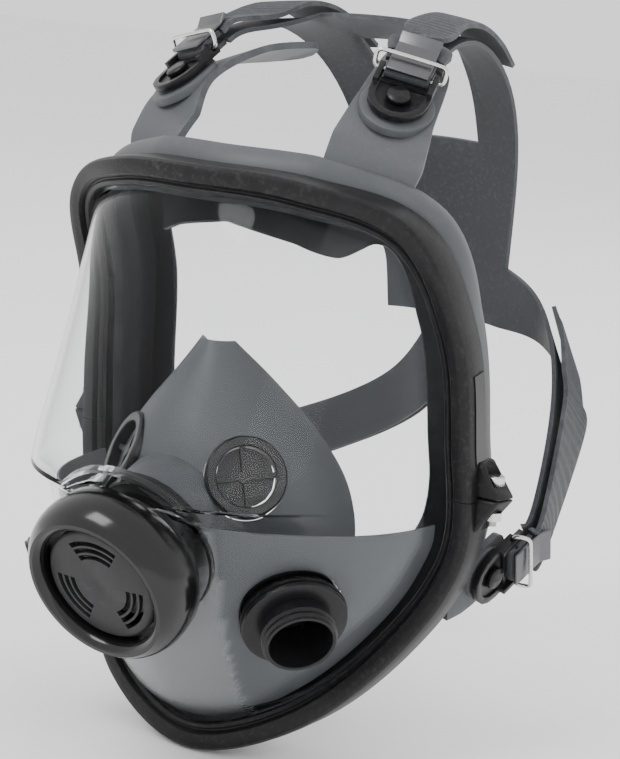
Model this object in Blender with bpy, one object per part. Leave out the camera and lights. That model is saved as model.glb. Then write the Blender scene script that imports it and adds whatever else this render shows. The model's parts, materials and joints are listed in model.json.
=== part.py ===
"""Full face respirator: elastomer facepiece, wrap-round lens, two-part clamp frame,
nose cup, speech and exhalation unit, two threaded cartridge ports and a strapped
rubber head harness.  Metres, +Z up, -Y is the way the wearer looks, +X is the
wearer's left, and the origin is the middle of the opening the face goes into."""

from math import cos, pi, radians, sin

import bmesh
import bpy
from mathutils import Matrix, Vector

MM = 0.001
SHARP_ANGLE = 35

# Driving dimensions, millimetres and degrees
HALF_WIDTH = 86.0           # half the width of the lens opening
BROW_HEIGHT = 100.0         # lens opening above the origin
CHIN_DEPTH = 122.0          # lens opening below the origin
LENS_DEPTH = 120.0          # front of the lens bubble ahead of the origin
CHIN_FRONT = 45.0           # lens chin ahead of the origin
LENS_WALL = 2.0
LENS_LEDGE = 17.0           # step back from the bubble to the lower lens
LENS_FLANGE = 9.0           # lens edge held in the clamp frame
GAP = 0.3                   # clearance between parts that touch
FRAME_WALL = 3.0
FRAME_DEPTH = 15.0          # clamp frame, front to back
SKIRT_DEPTH = 30.0          # facepiece, rim bead to the back of its seal
SEAL_LIP = 21.0             # seal turned in behind the lens at the sides
SKIRT_WALL = 3.0
FOREHEAD_FLARE = 11.0       # skirt's reach past the frame over the brow
FLARE_FULL = 1.0            # rim places where the flare begins to fade and ends
FLARE_END = 3.4
LUG_REACH = 12.0
LUG_LENGTH = 15.0
SCREW_RADIUS = 2.0
SCREW_HEAD = 3.8
HOUSING_BORE = 20.5         # speech and exhalation unit
HOUSING_WALL = 3.0
HOUSING_FLANGE = 32.5
COVER_RADIUS = 36.0
GRILLE_RADIUS = 24.5
GRILLE_HEIGHT = 22.5        # grille face ahead of the lens
PORT_BORE = 12.8
PORT_STUB = 15.2
PORT_FLANGE = 21.4
PORT_LENGTH = 16.0
THREAD_PITCH = 3.2
CUP_WALL = 2.4
CHECK_RADIUS = 16.4
CHECK_BORE = 12.2
STRAP_WIDTH = 24.0
STRAP_THICKNESS = 2.0
BUCKLE_WIDTH = 25.0
STUD_RADIUS = 4.9
WIRE_RADIUS = 1.1
LEVER_WIDTH = 17.5
LEVER_WALL = 1.6
SWIVEL_CUT = 25.0           # from the stud to the joint in the strap
JOINT_GAP = 1.0             # between the turning and the fixed strap
HEAD_BACK = 144.0           # back of the harness behind the origin
CROWN_HEIGHT = 171.0
PANEL_HALF = 36.0

# Lens opening from the middle of the brow to the middle of the chin:
# share of half width, place along Y, share of the height above or below the origin
RIM_SHAPE = [
    (0.0, -69, 1.0),
    (0.47, -60, 0.98),
    (0.85, -37, 0.86),
    (0.96, -13, 0.49),
    (1.0, -5, 0.07),
    (1.0, 0, -0.315),
    (0.79, -13, -0.63),
    (0.47, -35, -0.875),
    (0.0, -CHIN_FRONT, -1.0),
]

# Lens rows: place along the rim, share of the bubble's depth at the middle,
# height there, and how far round its ellipse the row reaches
LENS_ROWS = [
    (1.35, 0.575, 0.99, 48),
    (2.0, 0.625, 0.87, 68),
    (2.6, 0.70, 0.68, 80),
    (3.2, 0.80, 0.42, 85),
    (3.8, 0.895, 0.15, 88),
    (4.25, 0.97, -0.03, 90),
    (4.5, 1.0, -0.11, 90),
]
LOWER_ROWS = [
    (4.75, 0.0, -0.185, 90),
    (5.0, 0.10, -0.30, 90),
    (5.5, 0.25, -0.46, 88),
    (6.0, 0.43, -0.64, 82),
    (6.5, 0.60, -0.79, 70),
    (7.0, 0.80, -0.92, 56),
    (7.4, 0.93, -0.98, 40),
]

COLOURS = {
    "rubber_grey": ((0.075, 0.077, 0.083), 0.55, 0.0),
    "harness_rubber": ((0.035, 0.036, 0.039), 0.6, 0.0),
    "rubber_black": ((0.012, 0.012, 0.012), 0.6, 0.0),
    "black_plastic": ((0.01, 0.01, 0.011), 0.35, 0.0),
    "gloss_black": ((0.006, 0.006, 0.006), 0.12, 0.0),
    "clear": ((0.85, 0.87, 0.88), 0.05, 0.0),
    "silicone": ((0.5, 0.5, 0.48), 0.5, 0.0),
    "steel": ((0.6, 0.6, 0.58), 0.25, 1.0),
}


def clear_scene():
    for item in list(bpy.data.objects):
        bpy.data.objects.remove(item, do_unlink=True)


def material(slot):
    found = bpy.data.materials.get(slot)
    if found:
        return found
    colour, roughness, metallic = COLOURS[slot]
    made = bpy.data.materials.new(slot)
    made.use_nodes = True
    shader = made.node_tree.nodes["Principled BSDF"]
    shader.inputs["Base Color"].default_value = (*colour, 1)
    shader.inputs["Roughness"].default_value = roughness
    shader.inputs["Metallic"].default_value = metallic
    return made


def add_object(name, bm, slot):
    """Object from a closed mesh, in millimetres until the model is finished."""
    bmesh.ops.remove_doubles(bm, verts=bm.verts, dist=1e-4)
    bmesh.ops.recalc_face_normals(bm, faces=bm.faces)
    mesh = bpy.data.meshes.new(name)
    bm.to_mesh(mesh)
    bm.free()
    item = bpy.data.objects.new(name, mesh)
    bpy.context.collection.objects.link(item)
    item.data.materials.append(material(slot))
    return item


def cutter(name, bm):
    item = add_object(name, bm, "steel")
    item.hide_render = True
    item.display_type = "WIRE"
    return item


def boolean(item, other, operation, solver="EXACT"):
    """Cuts or joins, and removes the cutter; thin curved walls need MANIFOLD."""
    modifier = item.modifiers.new(other.name, "BOOLEAN")
    modifier.operation = operation
    modifier.object = other
    modifier.solver = solver
    graph = bpy.context.evaluated_depsgraph_get()
    mesh = bpy.data.meshes.new_from_object(item.evaluated_get(graph))
    item.modifiers.clear()
    item.data = mesh
    bpy.data.objects.remove(other, do_unlink=True)


def set_origin(item, place):
    """Moves the origin to a joint axis and leaves the shape where it is."""
    shift = Vector(place)
    item.data.transform(Matrix.Translation(-shift))
    item.location = shift


def finish_objects():
    """Turns millimetres to metres and shades the round faces smooth."""
    for item in bpy.data.objects:
        item.data.transform(Matrix.Scale(MM, 4))
        item.data.name = item.name
        item.data.shade_smooth()
        item.data.set_sharp_from_angle(angle=radians(SHARP_ANGLE))
        item.location *= MM


# Curves and frames

def catmull(points, place):
    """Point on a smooth curve through the points, at a place counted in points."""
    last = len(points) - 1
    step = min(int(place), last - 1)
    part = place - step
    p1, p2 = Vector(points[step]), Vector(points[step + 1])
    p0 = Vector(points[step - 1]) if step > 0 else 2 * p1 - p2
    p3 = Vector(points[step + 2]) if step + 2 <= last else 2 * p2 - p1
    return 0.5 * (2 * p1 + (p2 - p0) * part + (2 * p0 - 5 * p1 + 4 * p2 - p3) * part ** 2
                  + (3 * p1 - p0 - 3 * p2 + p3) * part ** 3)


def rim_points():
    points = []
    for across, depth, height in RIM_SHAPE:
        level = height * (BROW_HEIGHT if height > 0 else CHIN_DEPTH)
        points.append(Vector((across * HALF_WIDTH, depth, level)))
    return points


RIM = rim_points()
RIM_MIRROR = [Vector((-p.x, p.y, p.z)) for p in RIM]
RIM_LAST = len(RIM) - 1
RIM_FULL = [RIM_MIRROR[1]] + RIM + [RIM_MIRROR[-2]]


def rim(place):
    """Lens opening at a place from 0 at the brow to 8 at the chin, either side."""
    place = (place + RIM_LAST) % (2 * RIM_LAST) - RIM_LAST
    point = catmull(RIM_FULL, abs(place) + 1)
    return point if place >= 0 else Vector((-point.x, point.y, point.z))


def rim_frame(place):
    """Point on the opening with its outward and forward directions."""
    along = (rim(place + 0.02) - rim(place - 0.02)).normalized()
    forward = Vector((0, -1, 0))
    forward = (forward - forward.dot(along) * along).normalized()
    outward = along.cross(forward).normalized()
    point = rim(place)
    if outward.dot(point - Vector((0, point.y, -10))) < 0:
        outward = -outward
    return point, outward, forward


def basis(normal, up=(0, 0, 1)):
    """Matrix whose Z axis is the normal."""
    z = Vector(normal).normalized()
    x = Vector(up).cross(z).normalized()
    y = z.cross(x)
    return Matrix((x, y, z)).transposed().to_4x4()


# Shapes

def swept(sections, closed):
    """Closed solid from equal sections; open runs get flat ends."""
    bm = bmesh.new()
    rings = [[bm.verts.new(p) for p in section] for section in sections]
    count = len(rings)
    for index in range(count if closed else count - 1):
        near, far = rings[index], rings[(index + 1) % count]
        for side in range(len(near)):
            nxt = (side + 1) % len(near)
            bm.faces.new((near[side], near[nxt], far[nxt], far[side]))
    if not closed:
        bm.faces.new(rings[0])
        bm.faces.new(rings[-1])
    bmesh.ops.triangulate(bm, faces=bm.faces, ngon_method="EAR_CLIP")
    return bm


def turned(profile, place, steps=40):
    """Solid turned about Z from (radius, height) pairs; radius 0 closes an end."""
    bm = bmesh.new()
    ends = [p for p in profile if p[0] == 0]
    verts = [bm.verts.new((r, 0, h)) for r, h in profile]
    edges = [bm.edges.new(pair) for pair in zip(verts, verts[1:])]
    if not ends:
        edges.append(bm.edges.new((verts[-1], verts[0])))
    bmesh.ops.spin(bm, geom=verts + edges, cent=(0, 0, 0), axis=(0, 0, 1),
                   angle=2 * pi, steps=steps, use_merge=True)
    bmesh.ops.remove_doubles(bm, verts=bm.verts, dist=1e-4)
    bmesh.ops.transform(bm, matrix=place, verts=bm.verts)
    return bm


def tube(inner, outer, low, high, place, steps=40):
    profile = [(outer, high), (outer, low), (inner, low), (inner, high)]
    return turned(profile, place, steps)


def rod(radius, low, high, place, steps=32):
    return turned([(0, high), (radius, high), (radius, low), (0, low)], place, steps)


def slab(outline, low, high, place):
    """Prism from a closed outline in X and Y."""
    bm = bmesh.new()
    base = bm.faces.new([bm.verts.new((x, y, low)) for x, y in outline])
    top = bmesh.ops.extrude_face_region(bm, geom=[base])
    moved = [v for v in top["geom"] if isinstance(v, bmesh.types.BMVert)]
    bmesh.ops.translate(bm, vec=(0, 0, high - low), verts=moved)
    bmesh.ops.transform(bm, matrix=place, verts=bm.verts)
    return bm


def box_outline(x0, y0, x1, y1):
    return [(x0, y0), (x1, y0), (x1, y1), (x0, y1)]


def thick_sheet(rows, thickness, offset=0.0):
    """Solid sheet on a grid of points, thickened along its own normals."""
    bm = bmesh.new()
    grid = [[bm.verts.new(p) for p in row] for row in rows]
    for upper, lower in zip(grid, grid[1:]):
        for index in range(len(upper) - 1):
            corner = (upper[index], lower[index], lower[index + 1], upper[index + 1])
            bm.faces.new(corner)
    return thicken(bm, thickness, offset)


def thicken(bm, thickness, offset=0.0):
    """Offsets every vertex both ways along its normal and closes the edge."""
    bmesh.ops.remove_doubles(bm, verts=bm.verts, dist=1e-3)
    bm.normal_update()
    solid = bmesh.new()
    front, back = {}, {}
    for vert in bm.verts:
        front[vert] = solid.verts.new(vert.co + vert.normal * (offset + thickness / 2))
        back[vert] = solid.verts.new(vert.co + vert.normal * (offset - thickness / 2))
    for face in bm.faces:
        solid.faces.new([front[v] for v in face.verts])
        solid.faces.new([back[v] for v in reversed(face.verts)])
    for edge in bm.edges:
        if len(edge.link_faces) == 1:
            a, b = edge.verts
            solid.faces.new((front[a], front[b], back[b], back[a]))
    bm.free()
    bmesh.ops.triangulate(solid, faces=solid.faces)
    return solid


# Lens

def row_shape(place, middle, reach, share):
    """Point on a lens row: an ellipse through its middle and its two rim points."""
    side = rim(place)
    turn = radians(reach)
    depth = (side.y - middle.y) / (1 - cos(turn))
    angle = share * turn
    across = side.x * sin(angle) / sin(turn)
    forward = middle.y + depth * (1 - cos(angle))
    level = middle.z + (side.z - middle.z) * (sin(angle) / sin(turn)) ** 2
    return Vector((across, forward, level))


def lens_rows():
    rows = []
    for place, depth, height, reach in LENS_ROWS:
        level = height * (BROW_HEIGHT if height > 0 else CHIN_DEPTH)
        rows.append((place, Vector((0, -depth * LENS_DEPTH, level)), reach))
    front = LENS_DEPTH - LENS_LEDGE
    for place, share, height, reach in LOWER_ROWS:
        depth = front + (CHIN_FRONT + 2 - front) * share
        rows.append((place, Vector((0, -depth, height * CHIN_DEPTH)), reach))
    return rows


def lens_point(height, share):
    """Lens outer face at a height on its middle line and a share round its row."""
    rows = lens_rows()
    for upper, lower in zip(rows, rows[1:]):
        if lower[1].z <= height <= upper[1].z:
            part = (upper[1].z - height) / (upper[1].z - lower[1].z)
            place = upper[0] + (lower[0] - upper[0]) * part
            middle = upper[1].lerp(lower[1], part)
            reach = upper[2] + (lower[2] - upper[2]) * part
            return row_shape(place, middle, reach, share)
    return rim(RIM_LAST)


def lens_normal(height, share):
    step = 0.02
    across = lens_point(height, share + step) - lens_point(height, share - step)
    up = lens_point(height + 4, share) - lens_point(height - 4, share)
    normal = across.cross(up).normalized()
    return normal if normal.y < 0 else -normal


COLUMNS = 12                # faces across the lens


def fine_rows():
    """Lens rows from brow to chin without the brow and chin rows, which follow the rim."""
    rows = lens_rows()
    fine = [rows[0]]
    for upper, lower in zip(rows, rows[1:]):
        parts = 2 if lower[0] - upper[0] > 0.55 else 1
        for step in range(1, parts + 1):
            part = step / parts
            fine.append((upper[0] + (lower[0] - upper[0]) * part,
                         upper[1].lerp(lower[1], part),
                         upper[2] + (lower[2] - upper[2]) * part))
    return fine


SHARES = [2 * i / COLUMNS - 1 for i in range(COLUMNS + 1)]
ROWS = fine_rows()
CHIN_ROW = ROWS[-1][0]


def chin_place(share):
    place = RIM_LAST - (RIM_LAST - CHIN_ROW) * abs(share)
    return place if share >= 0 else -place


def lens_grid():
    """Rows of lens points from brow to chin, the first and last along the rim."""
    grid = [[rim(ROWS[0][0] * s) for s in SHARES]]
    for place, middle, reach in ROWS[1:-1]:
        grid.append([row_shape(place, middle, reach, s) for s in SHARES])
    grid.append([rim(chin_place(s)) for s in SHARES])
    return grid


def boundary_places():
    """Rim places round the lens, in order from one brow corner down the left side."""
    sides = [row[0] for row in ROWS[1:-1]]
    chin = [chin_place(s) for s in reversed(SHARES)]
    return [ROWS[0][0] * s for s in SHARES] + sides + chin + [-p for p in reversed(sides)]


BOUNDARY = boundary_places()


# The valve unit's place and the two ports' places come from the lens
VALVE_HEIGHT = -0.33 * CHIN_DEPTH
PORT_HEIGHT = -0.49 * CHIN_DEPTH
PORT_SHARE = 0.52


def valve_matrix():
    normal = lens_normal(VALVE_HEIGHT, 0)
    return Matrix.Translation(lens_point(VALVE_HEIGHT, 0)) @ basis(normal)


def port_matrix(side):
    point = lens_point(PORT_HEIGHT, PORT_SHARE)
    normal = lens_normal(PORT_HEIGHT, PORT_SHARE)
    point.x *= side
    normal.x *= side
    return Matrix.Translation(point) @ basis(normal)


VALVE = valve_matrix()
SIDES = {"left": 1, "right": -1}
PORTS = {name: port_matrix(side) for name, side in SIDES.items()}
BOSS_DEPTH = 9.5            # boss inside the lens at the valve
PORT_BOSS_DEPTH = 5.5
POCKET_RADIUS = COVER_RADIUS + 1.6     # room for the cover where the bubble hangs over it


def lens_surface(bm):
    """Lens outer face in a mesh; returns its edge in the order of the rim places."""
    grid = [[bm.verts.new(p) for p in row] for row in lens_grid()]
    for upper, lower in zip(grid, grid[1:]):
        for index in range(COLUMNS):
            bm.faces.new((upper[index], lower[index], lower[index + 1], upper[index + 1]))
    edge = grid[0] + [row[-1] for row in grid[1:-1]] + grid[-1][::-1]
    return edge + [row[0] for row in grid[-2:0:-1]]


def make_lens():
    bm = bmesh.new()
    edge = lens_surface(bm)
    flange = [bm.verts.new(rim(p) + rim_frame(p)[1] * LENS_FLANGE) for p in BOUNDARY]
    for index in range(len(edge)):
        nxt = (index + 1) % len(edge)
        bm.faces.new((edge[index], edge[nxt], flange[nxt], flange[index]))
    bmesh.ops.recalc_face_normals(bm, faces=bm.faces)
    bm.normal_update()
    if sum(f.normal.y for f in bm.faces) > 0:
        bmesh.ops.reverse_faces(bm, faces=bm.faces)
    lens = add_object("lens", thicken(bm, LENS_WALL, -LENS_WALL / 2), "clear")
    cut_valve_pocket(lens)
    boss = tube(HOUSING_BORE + HOUSING_WALL + 1.5, HOUSING_FLANGE - 1, -BOSS_DEPTH, 0.8, VALVE, 28)
    boolean(lens, cutter("lens_valve_boss", boss), "UNION", "MANIFOLD")
    reach = HOUSING_BORE + HOUSING_WALL + 2 * GAP + 1.2
    hole = rod(reach, -BOSS_DEPTH - 8, 12, VALVE, 28)
    boolean(lens, cutter("lens_valve_hole", hole), "DIFFERENCE", "MANIFOLD")
    for name, place in PORTS.items():
        boss = tube(PORT_STUB + 0.6, PORT_FLANGE - 1, -PORT_BOSS_DEPTH, 0.6, place, 24)
        boolean(lens, cutter("lens_port_boss_" + name, boss), "UNION", "MANIFOLD")
        hole = rod(PORT_STUB + 2 * GAP, -PORT_BOSS_DEPTH - 5, 8, place, 24)
        boolean(lens, cutter("lens_port_hole_" + name, hole), "DIFFERENCE", "MANIFOLD")


def cut_valve_pocket(lens):
    """Round pocket with a wall, where the bubble would run into the cover ring."""
    bm = bmesh.new()
    edge = lens_surface(bm)
    middle = bm.verts.new((0, -20, -10))
    for index in range(len(edge)):
        bm.faces.new((edge[(index + 1) % len(edge)], edge[index], middle))
    bmesh.ops.triangulate(bm, faces=bm.faces)
    inside = cutter("lens_inside", bm)
    reach = GRILLE_HEIGHT + 12
    outside = POCKET_RADIUS + LENS_WALL
    wall = turned([(0, 0), (POCKET_RADIUS, 0), (POCKET_RADIUS, reach), (outside, reach),
                   (outside, -LENS_WALL), (0, -LENS_WALL)], VALVE, 28)
    pocket = cutter("lens_pocket", wall)
    boolean(pocket, inside, "INTERSECT", "MANIFOLD")
    room = cutter("lens_room", rod(POCKET_RADIUS + 0.4, -0.6, reach + 10, VALVE, 28))
    boolean(lens, room, "DIFFERENCE", "MANIFOLD")
    boolean(lens, pocket, "UNION", "MANIFOLD")


# Clamp frame and its fasteners

SPLIT = 4.5                 # rim place where the two frame halves meet
LIP = LENS_FLANGE + GAP     # frame's inside width over the lens edge
FRAME_PROFILE = [
    (0.4, GAP + 0.1),
    (0.8, 2.8),
    (2.6, 3.6),
    (3.4, 2.6),
    (4.6, 4.4),
    (LIP - 1.5, 5.2),
    (LIP + 1.5, 5.0),
    (LIP + FRAME_WALL, 3.0),
    (LIP + FRAME_WALL + 0.4, GAP - FRAME_DEPTH + 4),
    (LIP + FRAME_WALL - 0.6, -FRAME_DEPTH + 4),
    (LIP - 2.0, -FRAME_DEPTH + 4),
    (LIP - 2.0, -FRAME_DEPTH + 6),
    (LIP + GAP, -FRAME_DEPTH + 6),
    (LIP + GAP, GAP + 0.1),
]


def rim_section(place, profile):
    point, outward, forward = rim_frame(place)
    return [point + outward * o + forward * f for o, f in profile]


def make_frame_half(name, direction):
    """Half of the clamp frame with a lug at each end; a level cut parts the halves."""
    if direction > 0:
        overrun = min(p for p in BOUNDARY if p > SPLIT)
        places = sorted(p for p in BOUNDARY if abs(p) <= overrun)
    else:
        overrun = max(p for p in BOUNDARY if p < SPLIT)
        places = sorted({p % (2 * RIM_LAST) for p in BOUNDARY if abs(p) >= overrun})
    sections = [rim_section(p, FRAME_PROFILE) for p in places]
    half = add_object(name, swept(sections, False), "rubber_black")
    for side in SIDES.values():
        axis = lug_axis(side)
        boolean(half, cutter(name + "_lug", lug_shape(side, direction)), "UNION")
        low, high = sorted((GAP / 2 * direction, -40 * direction))
        spare = slab(box_outline(-35, -50, 35, 50), low, high, axis)
        boolean(half, cutter(name + "_spare", spare), "DIFFERENCE")
        low, high = sorted((5.4 * direction, 40 * direction))
        bore = rod(SCREW_HEAD + 0.8, low, high, axis, 16)
        boolean(half, cutter(name + "_counterbore", bore), "DIFFERENCE")
        hole = rod(SCREW_RADIUS + GAP, -30, 30, axis, 16)
        boolean(half, cutter(name + "_hole", hole), "DIFFERENCE")
    return half


def lug_axis(side):
    """Clamp screw axis: upright, in the lug outside the frame."""
    point, outward, forward = rim_frame(SPLIT)
    place = point + outward * (LIP + FRAME_WALL + LUG_REACH * 0.42) - forward * 7
    return Matrix.Translation((side * place.x, place.y, place.z))


def lug_shape(side, direction):
    """Lug that tapers into the frame away from the split."""
    place = lug_axis(side)
    centre = place.to_translation()
    inner = centre.x - side * (LUG_REACH * 0.42 + 2)
    outer = centre.x + side * LUG_REACH * 0.58
    low = -2 * direction
    far = LUG_LENGTH * direction
    bm = bmesh.new()
    rings = []
    for y, taper in ((-6.0, 0.8), (6.0, 1.0)):
        reach = inner + (outer - inner) * taper
        ring = [(inner, y, low), (reach, y, low), (reach, y, low + 5 * direction),
                (inner + (reach - inner) * 0.2, y, far), (inner, y, far)]
        rings.append([bm.verts.new((x, centre.y + yy, centre.z + zz)) for x, yy, zz in ring])
    bm.faces.new(rings[0])
    bm.faces.new(rings[1])
    for index in range(5):
        nxt = (index + 1) % 5
        bm.faces.new((rings[0][index], rings[0][nxt], rings[1][nxt], rings[1][index]))
    bmesh.ops.recalc_face_normals(bm, faces=bm.faces)
    return bm


def make_clamp_fasteners():
    for name, side in SIDES.items():
        place = lug_axis(side)
        profile = [(0, 9.4), (SCREW_HEAD - 0.4, 9.4), (SCREW_HEAD, 8.8), (SCREW_HEAD, 5.7),
                   (SCREW_RADIUS, 5.7), (SCREW_RADIUS, -11.5), (0, -11.5)]
        add_object("clamp_screw_" + name, turned(profile, place, 20), "steel")
        hexagon = [(4.2 * cos(pi * i / 3), 4.2 * sin(pi * i / 3)) for i in range(6)]
        nut = add_object("clamp_nut_" + name, slab(hexagon, -9.0, -5.7, place), "steel")
        bore = rod(SCREW_RADIUS + GAP, -12, 0, place, 16)
        boolean(nut, cutter("clamp_nut_bore_" + name, bore), "DIFFERENCE")


# Facepiece with its seal and its four tongues

def seal_reach(place):
    """Width of the turned-in seal: narrow at the brow, wide at the chin."""
    share = abs((place + RIM_LAST) % (2 * RIM_LAST) - RIM_LAST) / RIM_LAST
    if share < 0.2:
        return 12 + (SEAL_LIP - 12) * share / 0.2
    if share < 0.56:
        return SEAL_LIP
    return SEAL_LIP + 14 * (share - 0.56) / 0.44


def forehead_flare(place):
    """Extra reach of the skirt behind the frame: full over the brow, none at the cheeks."""
    share = abs((place + RIM_LAST) % (2 * RIM_LAST) - RIM_LAST)
    fade = min(max((share - FLARE_FULL) / (FLARE_END - FLARE_FULL), 0), 1)
    return FOREHEAD_FLARE * (1 - fade * fade * (3 - 2 * fade))


def face_profile(place):
    lip = LIP - 0.4
    reach = seal_reach(place)
    flare = forehead_flare(place)
    back = -LENS_WALL - GAP - SKIRT_DEPTH
    front = -LENS_WALL - GAP
    return [
        (-2.0, front),
        (lip - 0.2, front),
        (lip - 0.2, -FRAME_DEPTH + 6.4),
        (lip - 2.6, -FRAME_DEPTH + 6.4),
        (lip - 2.6, -FRAME_DEPTH + 3.4),
        (lip - 0.2 + flare * 0.4, -FRAME_DEPTH + 1.4),
        (lip - 0.6 + flare, -FRAME_DEPTH - 4),
        (lip - 2.0 + flare, back + 7),
        (lip - 7.0 + flare * 0.5, back),
        (lip - 14.0, back + 1),
        (-reach, back + 9),
        (-reach, back + 9 + 1.8),
        (lip - 14.0, back + 1 + SKIRT_WALL),
        (lip - 9.0 + flare * 0.4, back + 2 + SKIRT_WALL),
        (lip - 5.6 + flare * 0.9, back + 9),
        (lip - 5.0 + flare * 0.8, -FRAME_DEPTH - 4),
        (lip - 6.5, -FRAME_DEPTH + 3),
        (-2.0, -FRAME_DEPTH + 6),
    ]


def ring_places():
    """Rim places once round, without repeats."""
    return sorted({round(p % (2 * RIM_LAST), 6) for p in BOUNDARY})


def tongue_frames(kind, side):
    """Middle line, width and width direction of a tongue's rows, root to tip."""
    if kind == "upper":
        rows = [((50, -31, 103.5), 36), ((51.5, -21, 121), 40), ((51, -8, 137.4), 34),
                ((43, 18, 149.5), 31), ((32, 42, 153), 28), ((28, 50, 152.6), 16)]
        root, across = Vector((0.8, 0.42, -0.42)), Vector((0.93, 0.2, -0.3))
    else:
        rows = [((83.5, 14, -60), 28), ((87.5, 21, -58), 28), ((90, 30, -53), 27),
                ((91.5, 40, -47.5), 24), ((92, 45, -44.8), 14)]
        root, across = Vector((0.1, -0.2, 0.97)), Vector((0.15, -0.5, 0.85))
    lines = []
    for index, ((x, y, z), width) in enumerate(rows):
        turn = root if index == 0 else across
        turn = Vector((side * turn.x, turn.y, turn.z)).normalized()
        lines.append((Vector((side * x * HALF_WIDTH / 86, y, z)), width, turn))
    return lines


def tongue_points(kind, side):
    lines = tongue_frames(kind, side)
    rows = []
    last = len(lines) - 1
    for step in range(2 * last + 1):
        place = step / 2
        middle = catmull([line[0] for line in lines], place)
        low = min(int(place), last - 1)
        part = place - low
        width = lines[low][1] + (lines[low + 1][1] - lines[low][1]) * part
        across = lines[low][2].lerp(lines[low + 1][2], part).normalized()
        rows.append([middle + across * width * s / 2 for s in (-1, 0, 1)])
    return rows


TONGUE_WALL = 3.0


def tongue(kind, side):
    return thick_sheet(tongue_points(kind, side), TONGUE_WALL)


BUCKLES = {
    "upper_left": ("upper", 1),
    "upper_right": ("upper", -1),
    "lower_left": ("lower", 1),
    "lower_right": ("lower", -1),
}


def buckle_matrix(kind, side):
    """X across the strap, Y along it towards the harness, Z off the tongue."""
    lines = tongue_frames(kind, side)
    points = [line[0] for line in lines]
    across = lines[2][2]
    along = (catmull(points, 2.05) - catmull(points, 1.95)).normalized()
    normal = across.cross(along).normalized()
    outward = Vector((side, 0, 0)) if kind == "lower" else Vector((0, -1, 1))
    if normal.dot(outward) < 0:
        normal = -normal
    x = along.cross(normal).normalized()
    turn = Matrix((x, along, normal)).transposed().to_4x4()
    return Matrix.Translation(points[2] + normal * TONGUE_WALL / 2) @ turn


PLACES = {name: buckle_matrix(*where) for name, where in BUCKLES.items()}
PAD_RADIUS = 15.5
PAD_HEIGHT = 1.6


def make_facepiece():
    sections = [rim_section(p, face_profile(p)) for p in ring_places()]
    face = add_object("facepiece", swept(sections, True), "rubber_grey")
    for name, (kind, side) in BUCKLES.items():
        boolean(face, cutter("tongue_" + name, tongue(kind, side)), "UNION")
        pad = rod(PAD_RADIUS if kind == "upper" else 12.0, -2.0, PAD_HEIGHT, PLACES[name], 20)
        boolean(face, cutter("tongue_pad_" + name, pad), "UNION")


# Nose cup with its two check valves

CUP_ROWS = [
    # side x, side y, height, middle y, reach
    (7, -46, 40, -52, 60),
    (22, -36, 24, -61, 75),
    (38, -28, 6, -71, 82),
    (51, -23, -14, -77, 86),
    (56, -22, -36, -76, 86),
    (53, -25, -58, -69, 84),
    (43, -31, -78, -60, 78),
    (26, -38, -92, -51, 66),
]


def cup_row(place, share):
    low = min(int(place), len(CUP_ROWS) - 2)
    part = place - low
    a, b = CUP_ROWS[low], CUP_ROWS[low + 1]
    side_x, side_y, level, middle_y, reach = [p + (q - p) * part for p, q in zip(a, b)]
    turn = radians(reach)
    depth = (side_y - middle_y) / (1 - cos(turn))
    angle = share * turn
    return Vector((side_x * sin(angle) / sin(turn), middle_y + depth * (1 - cos(angle)), level))


def cup_frame(place, share):
    point = cup_row(place, share)
    across = cup_row(place, share + 0.02) - cup_row(place, share - 0.02)
    up = cup_row(place - 0.1, share) - cup_row(place + 0.1, share)
    normal = across.cross(up).normalized()
    return point, normal if normal.y < 0 else -normal


CHECK_PLACE = (2.75, 0.44)


def check_matrix(side):
    point, normal = cup_frame(*CHECK_PLACE)
    point.x *= side
    normal.x *= side
    return Matrix.Translation(point) @ basis(normal)


CHECKS = {name: check_matrix(side) for name, side in SIDES.items()}
CHECK_DEPTH = 5.0


def make_nose_cup():
    rows = []
    for place in range(len(CUP_ROWS)):
        rows.append([cup_row(place, s / 6) for s in range(-6, 7)])
    cup = add_object("nose_cup", thick_sheet(rows, CUP_WALL), "rubber_grey")
    collar = rod(HOUSING_BORE + HOUSING_WALL + GAP + 2.0, -34, -13.5, VALVE, 28)
    boolean(cup, cutter("nose_cup_collar", collar), "UNION", "MANIFOLD")
    hole = rod(HOUSING_BORE + HOUSING_WALL + GAP, -60, -10, VALVE, 28)
    boolean(cup, cutter("nose_cup_hole", hole), "DIFFERENCE", "MANIFOLD")
    for name, place in CHECKS.items():
        socket = rod(CHECK_RADIUS + GAP, -CHECK_DEPTH - 4, 6, place, 20)
        boolean(cup, cutter("nose_cup_socket_" + name, socket), "DIFFERENCE", "MANIFOLD")


def spoked_seat(name, place, outer, inner, low, high, spokes, bar, slot):
    """Valve seat: a ring with spokes across its bore to a small hub."""
    ring = add_object(name, tube(inner, outer, low, high, place, 20), slot)
    spoke_low = low + 1.2
    spoke_high = spoke_low + 1.4
    hub = rod(bar * 1.3, spoke_low, spoke_high, place, 12)
    boolean(ring, cutter(name + "_hub", hub), "UNION")
    for index in range(spokes):
        turn = place @ Matrix.Rotation(2 * pi * index / spokes, 4, "Z")
        outline = box_outline(bar * 0.6, -bar / 2, inner + 0.8, bar / 2)
        arm = slab(outline, spoke_low + 0.1, spoke_high - 0.1, turn)
        boolean(ring, cutter(name + "_spoke_" + str(index), arm), "UNION")
    return ring


def valve_flap(name, place, radius, top, slot):
    """Soft disc below its seat, with its origin on the valve's axis."""
    profile = [(0, top), (radius, top), (radius, top - 0.8), (0, top - 0.8)]
    flap = add_object(name, turned(profile, place, 16), slot)
    set_origin(flap, place.to_translation())
    return flap


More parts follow.
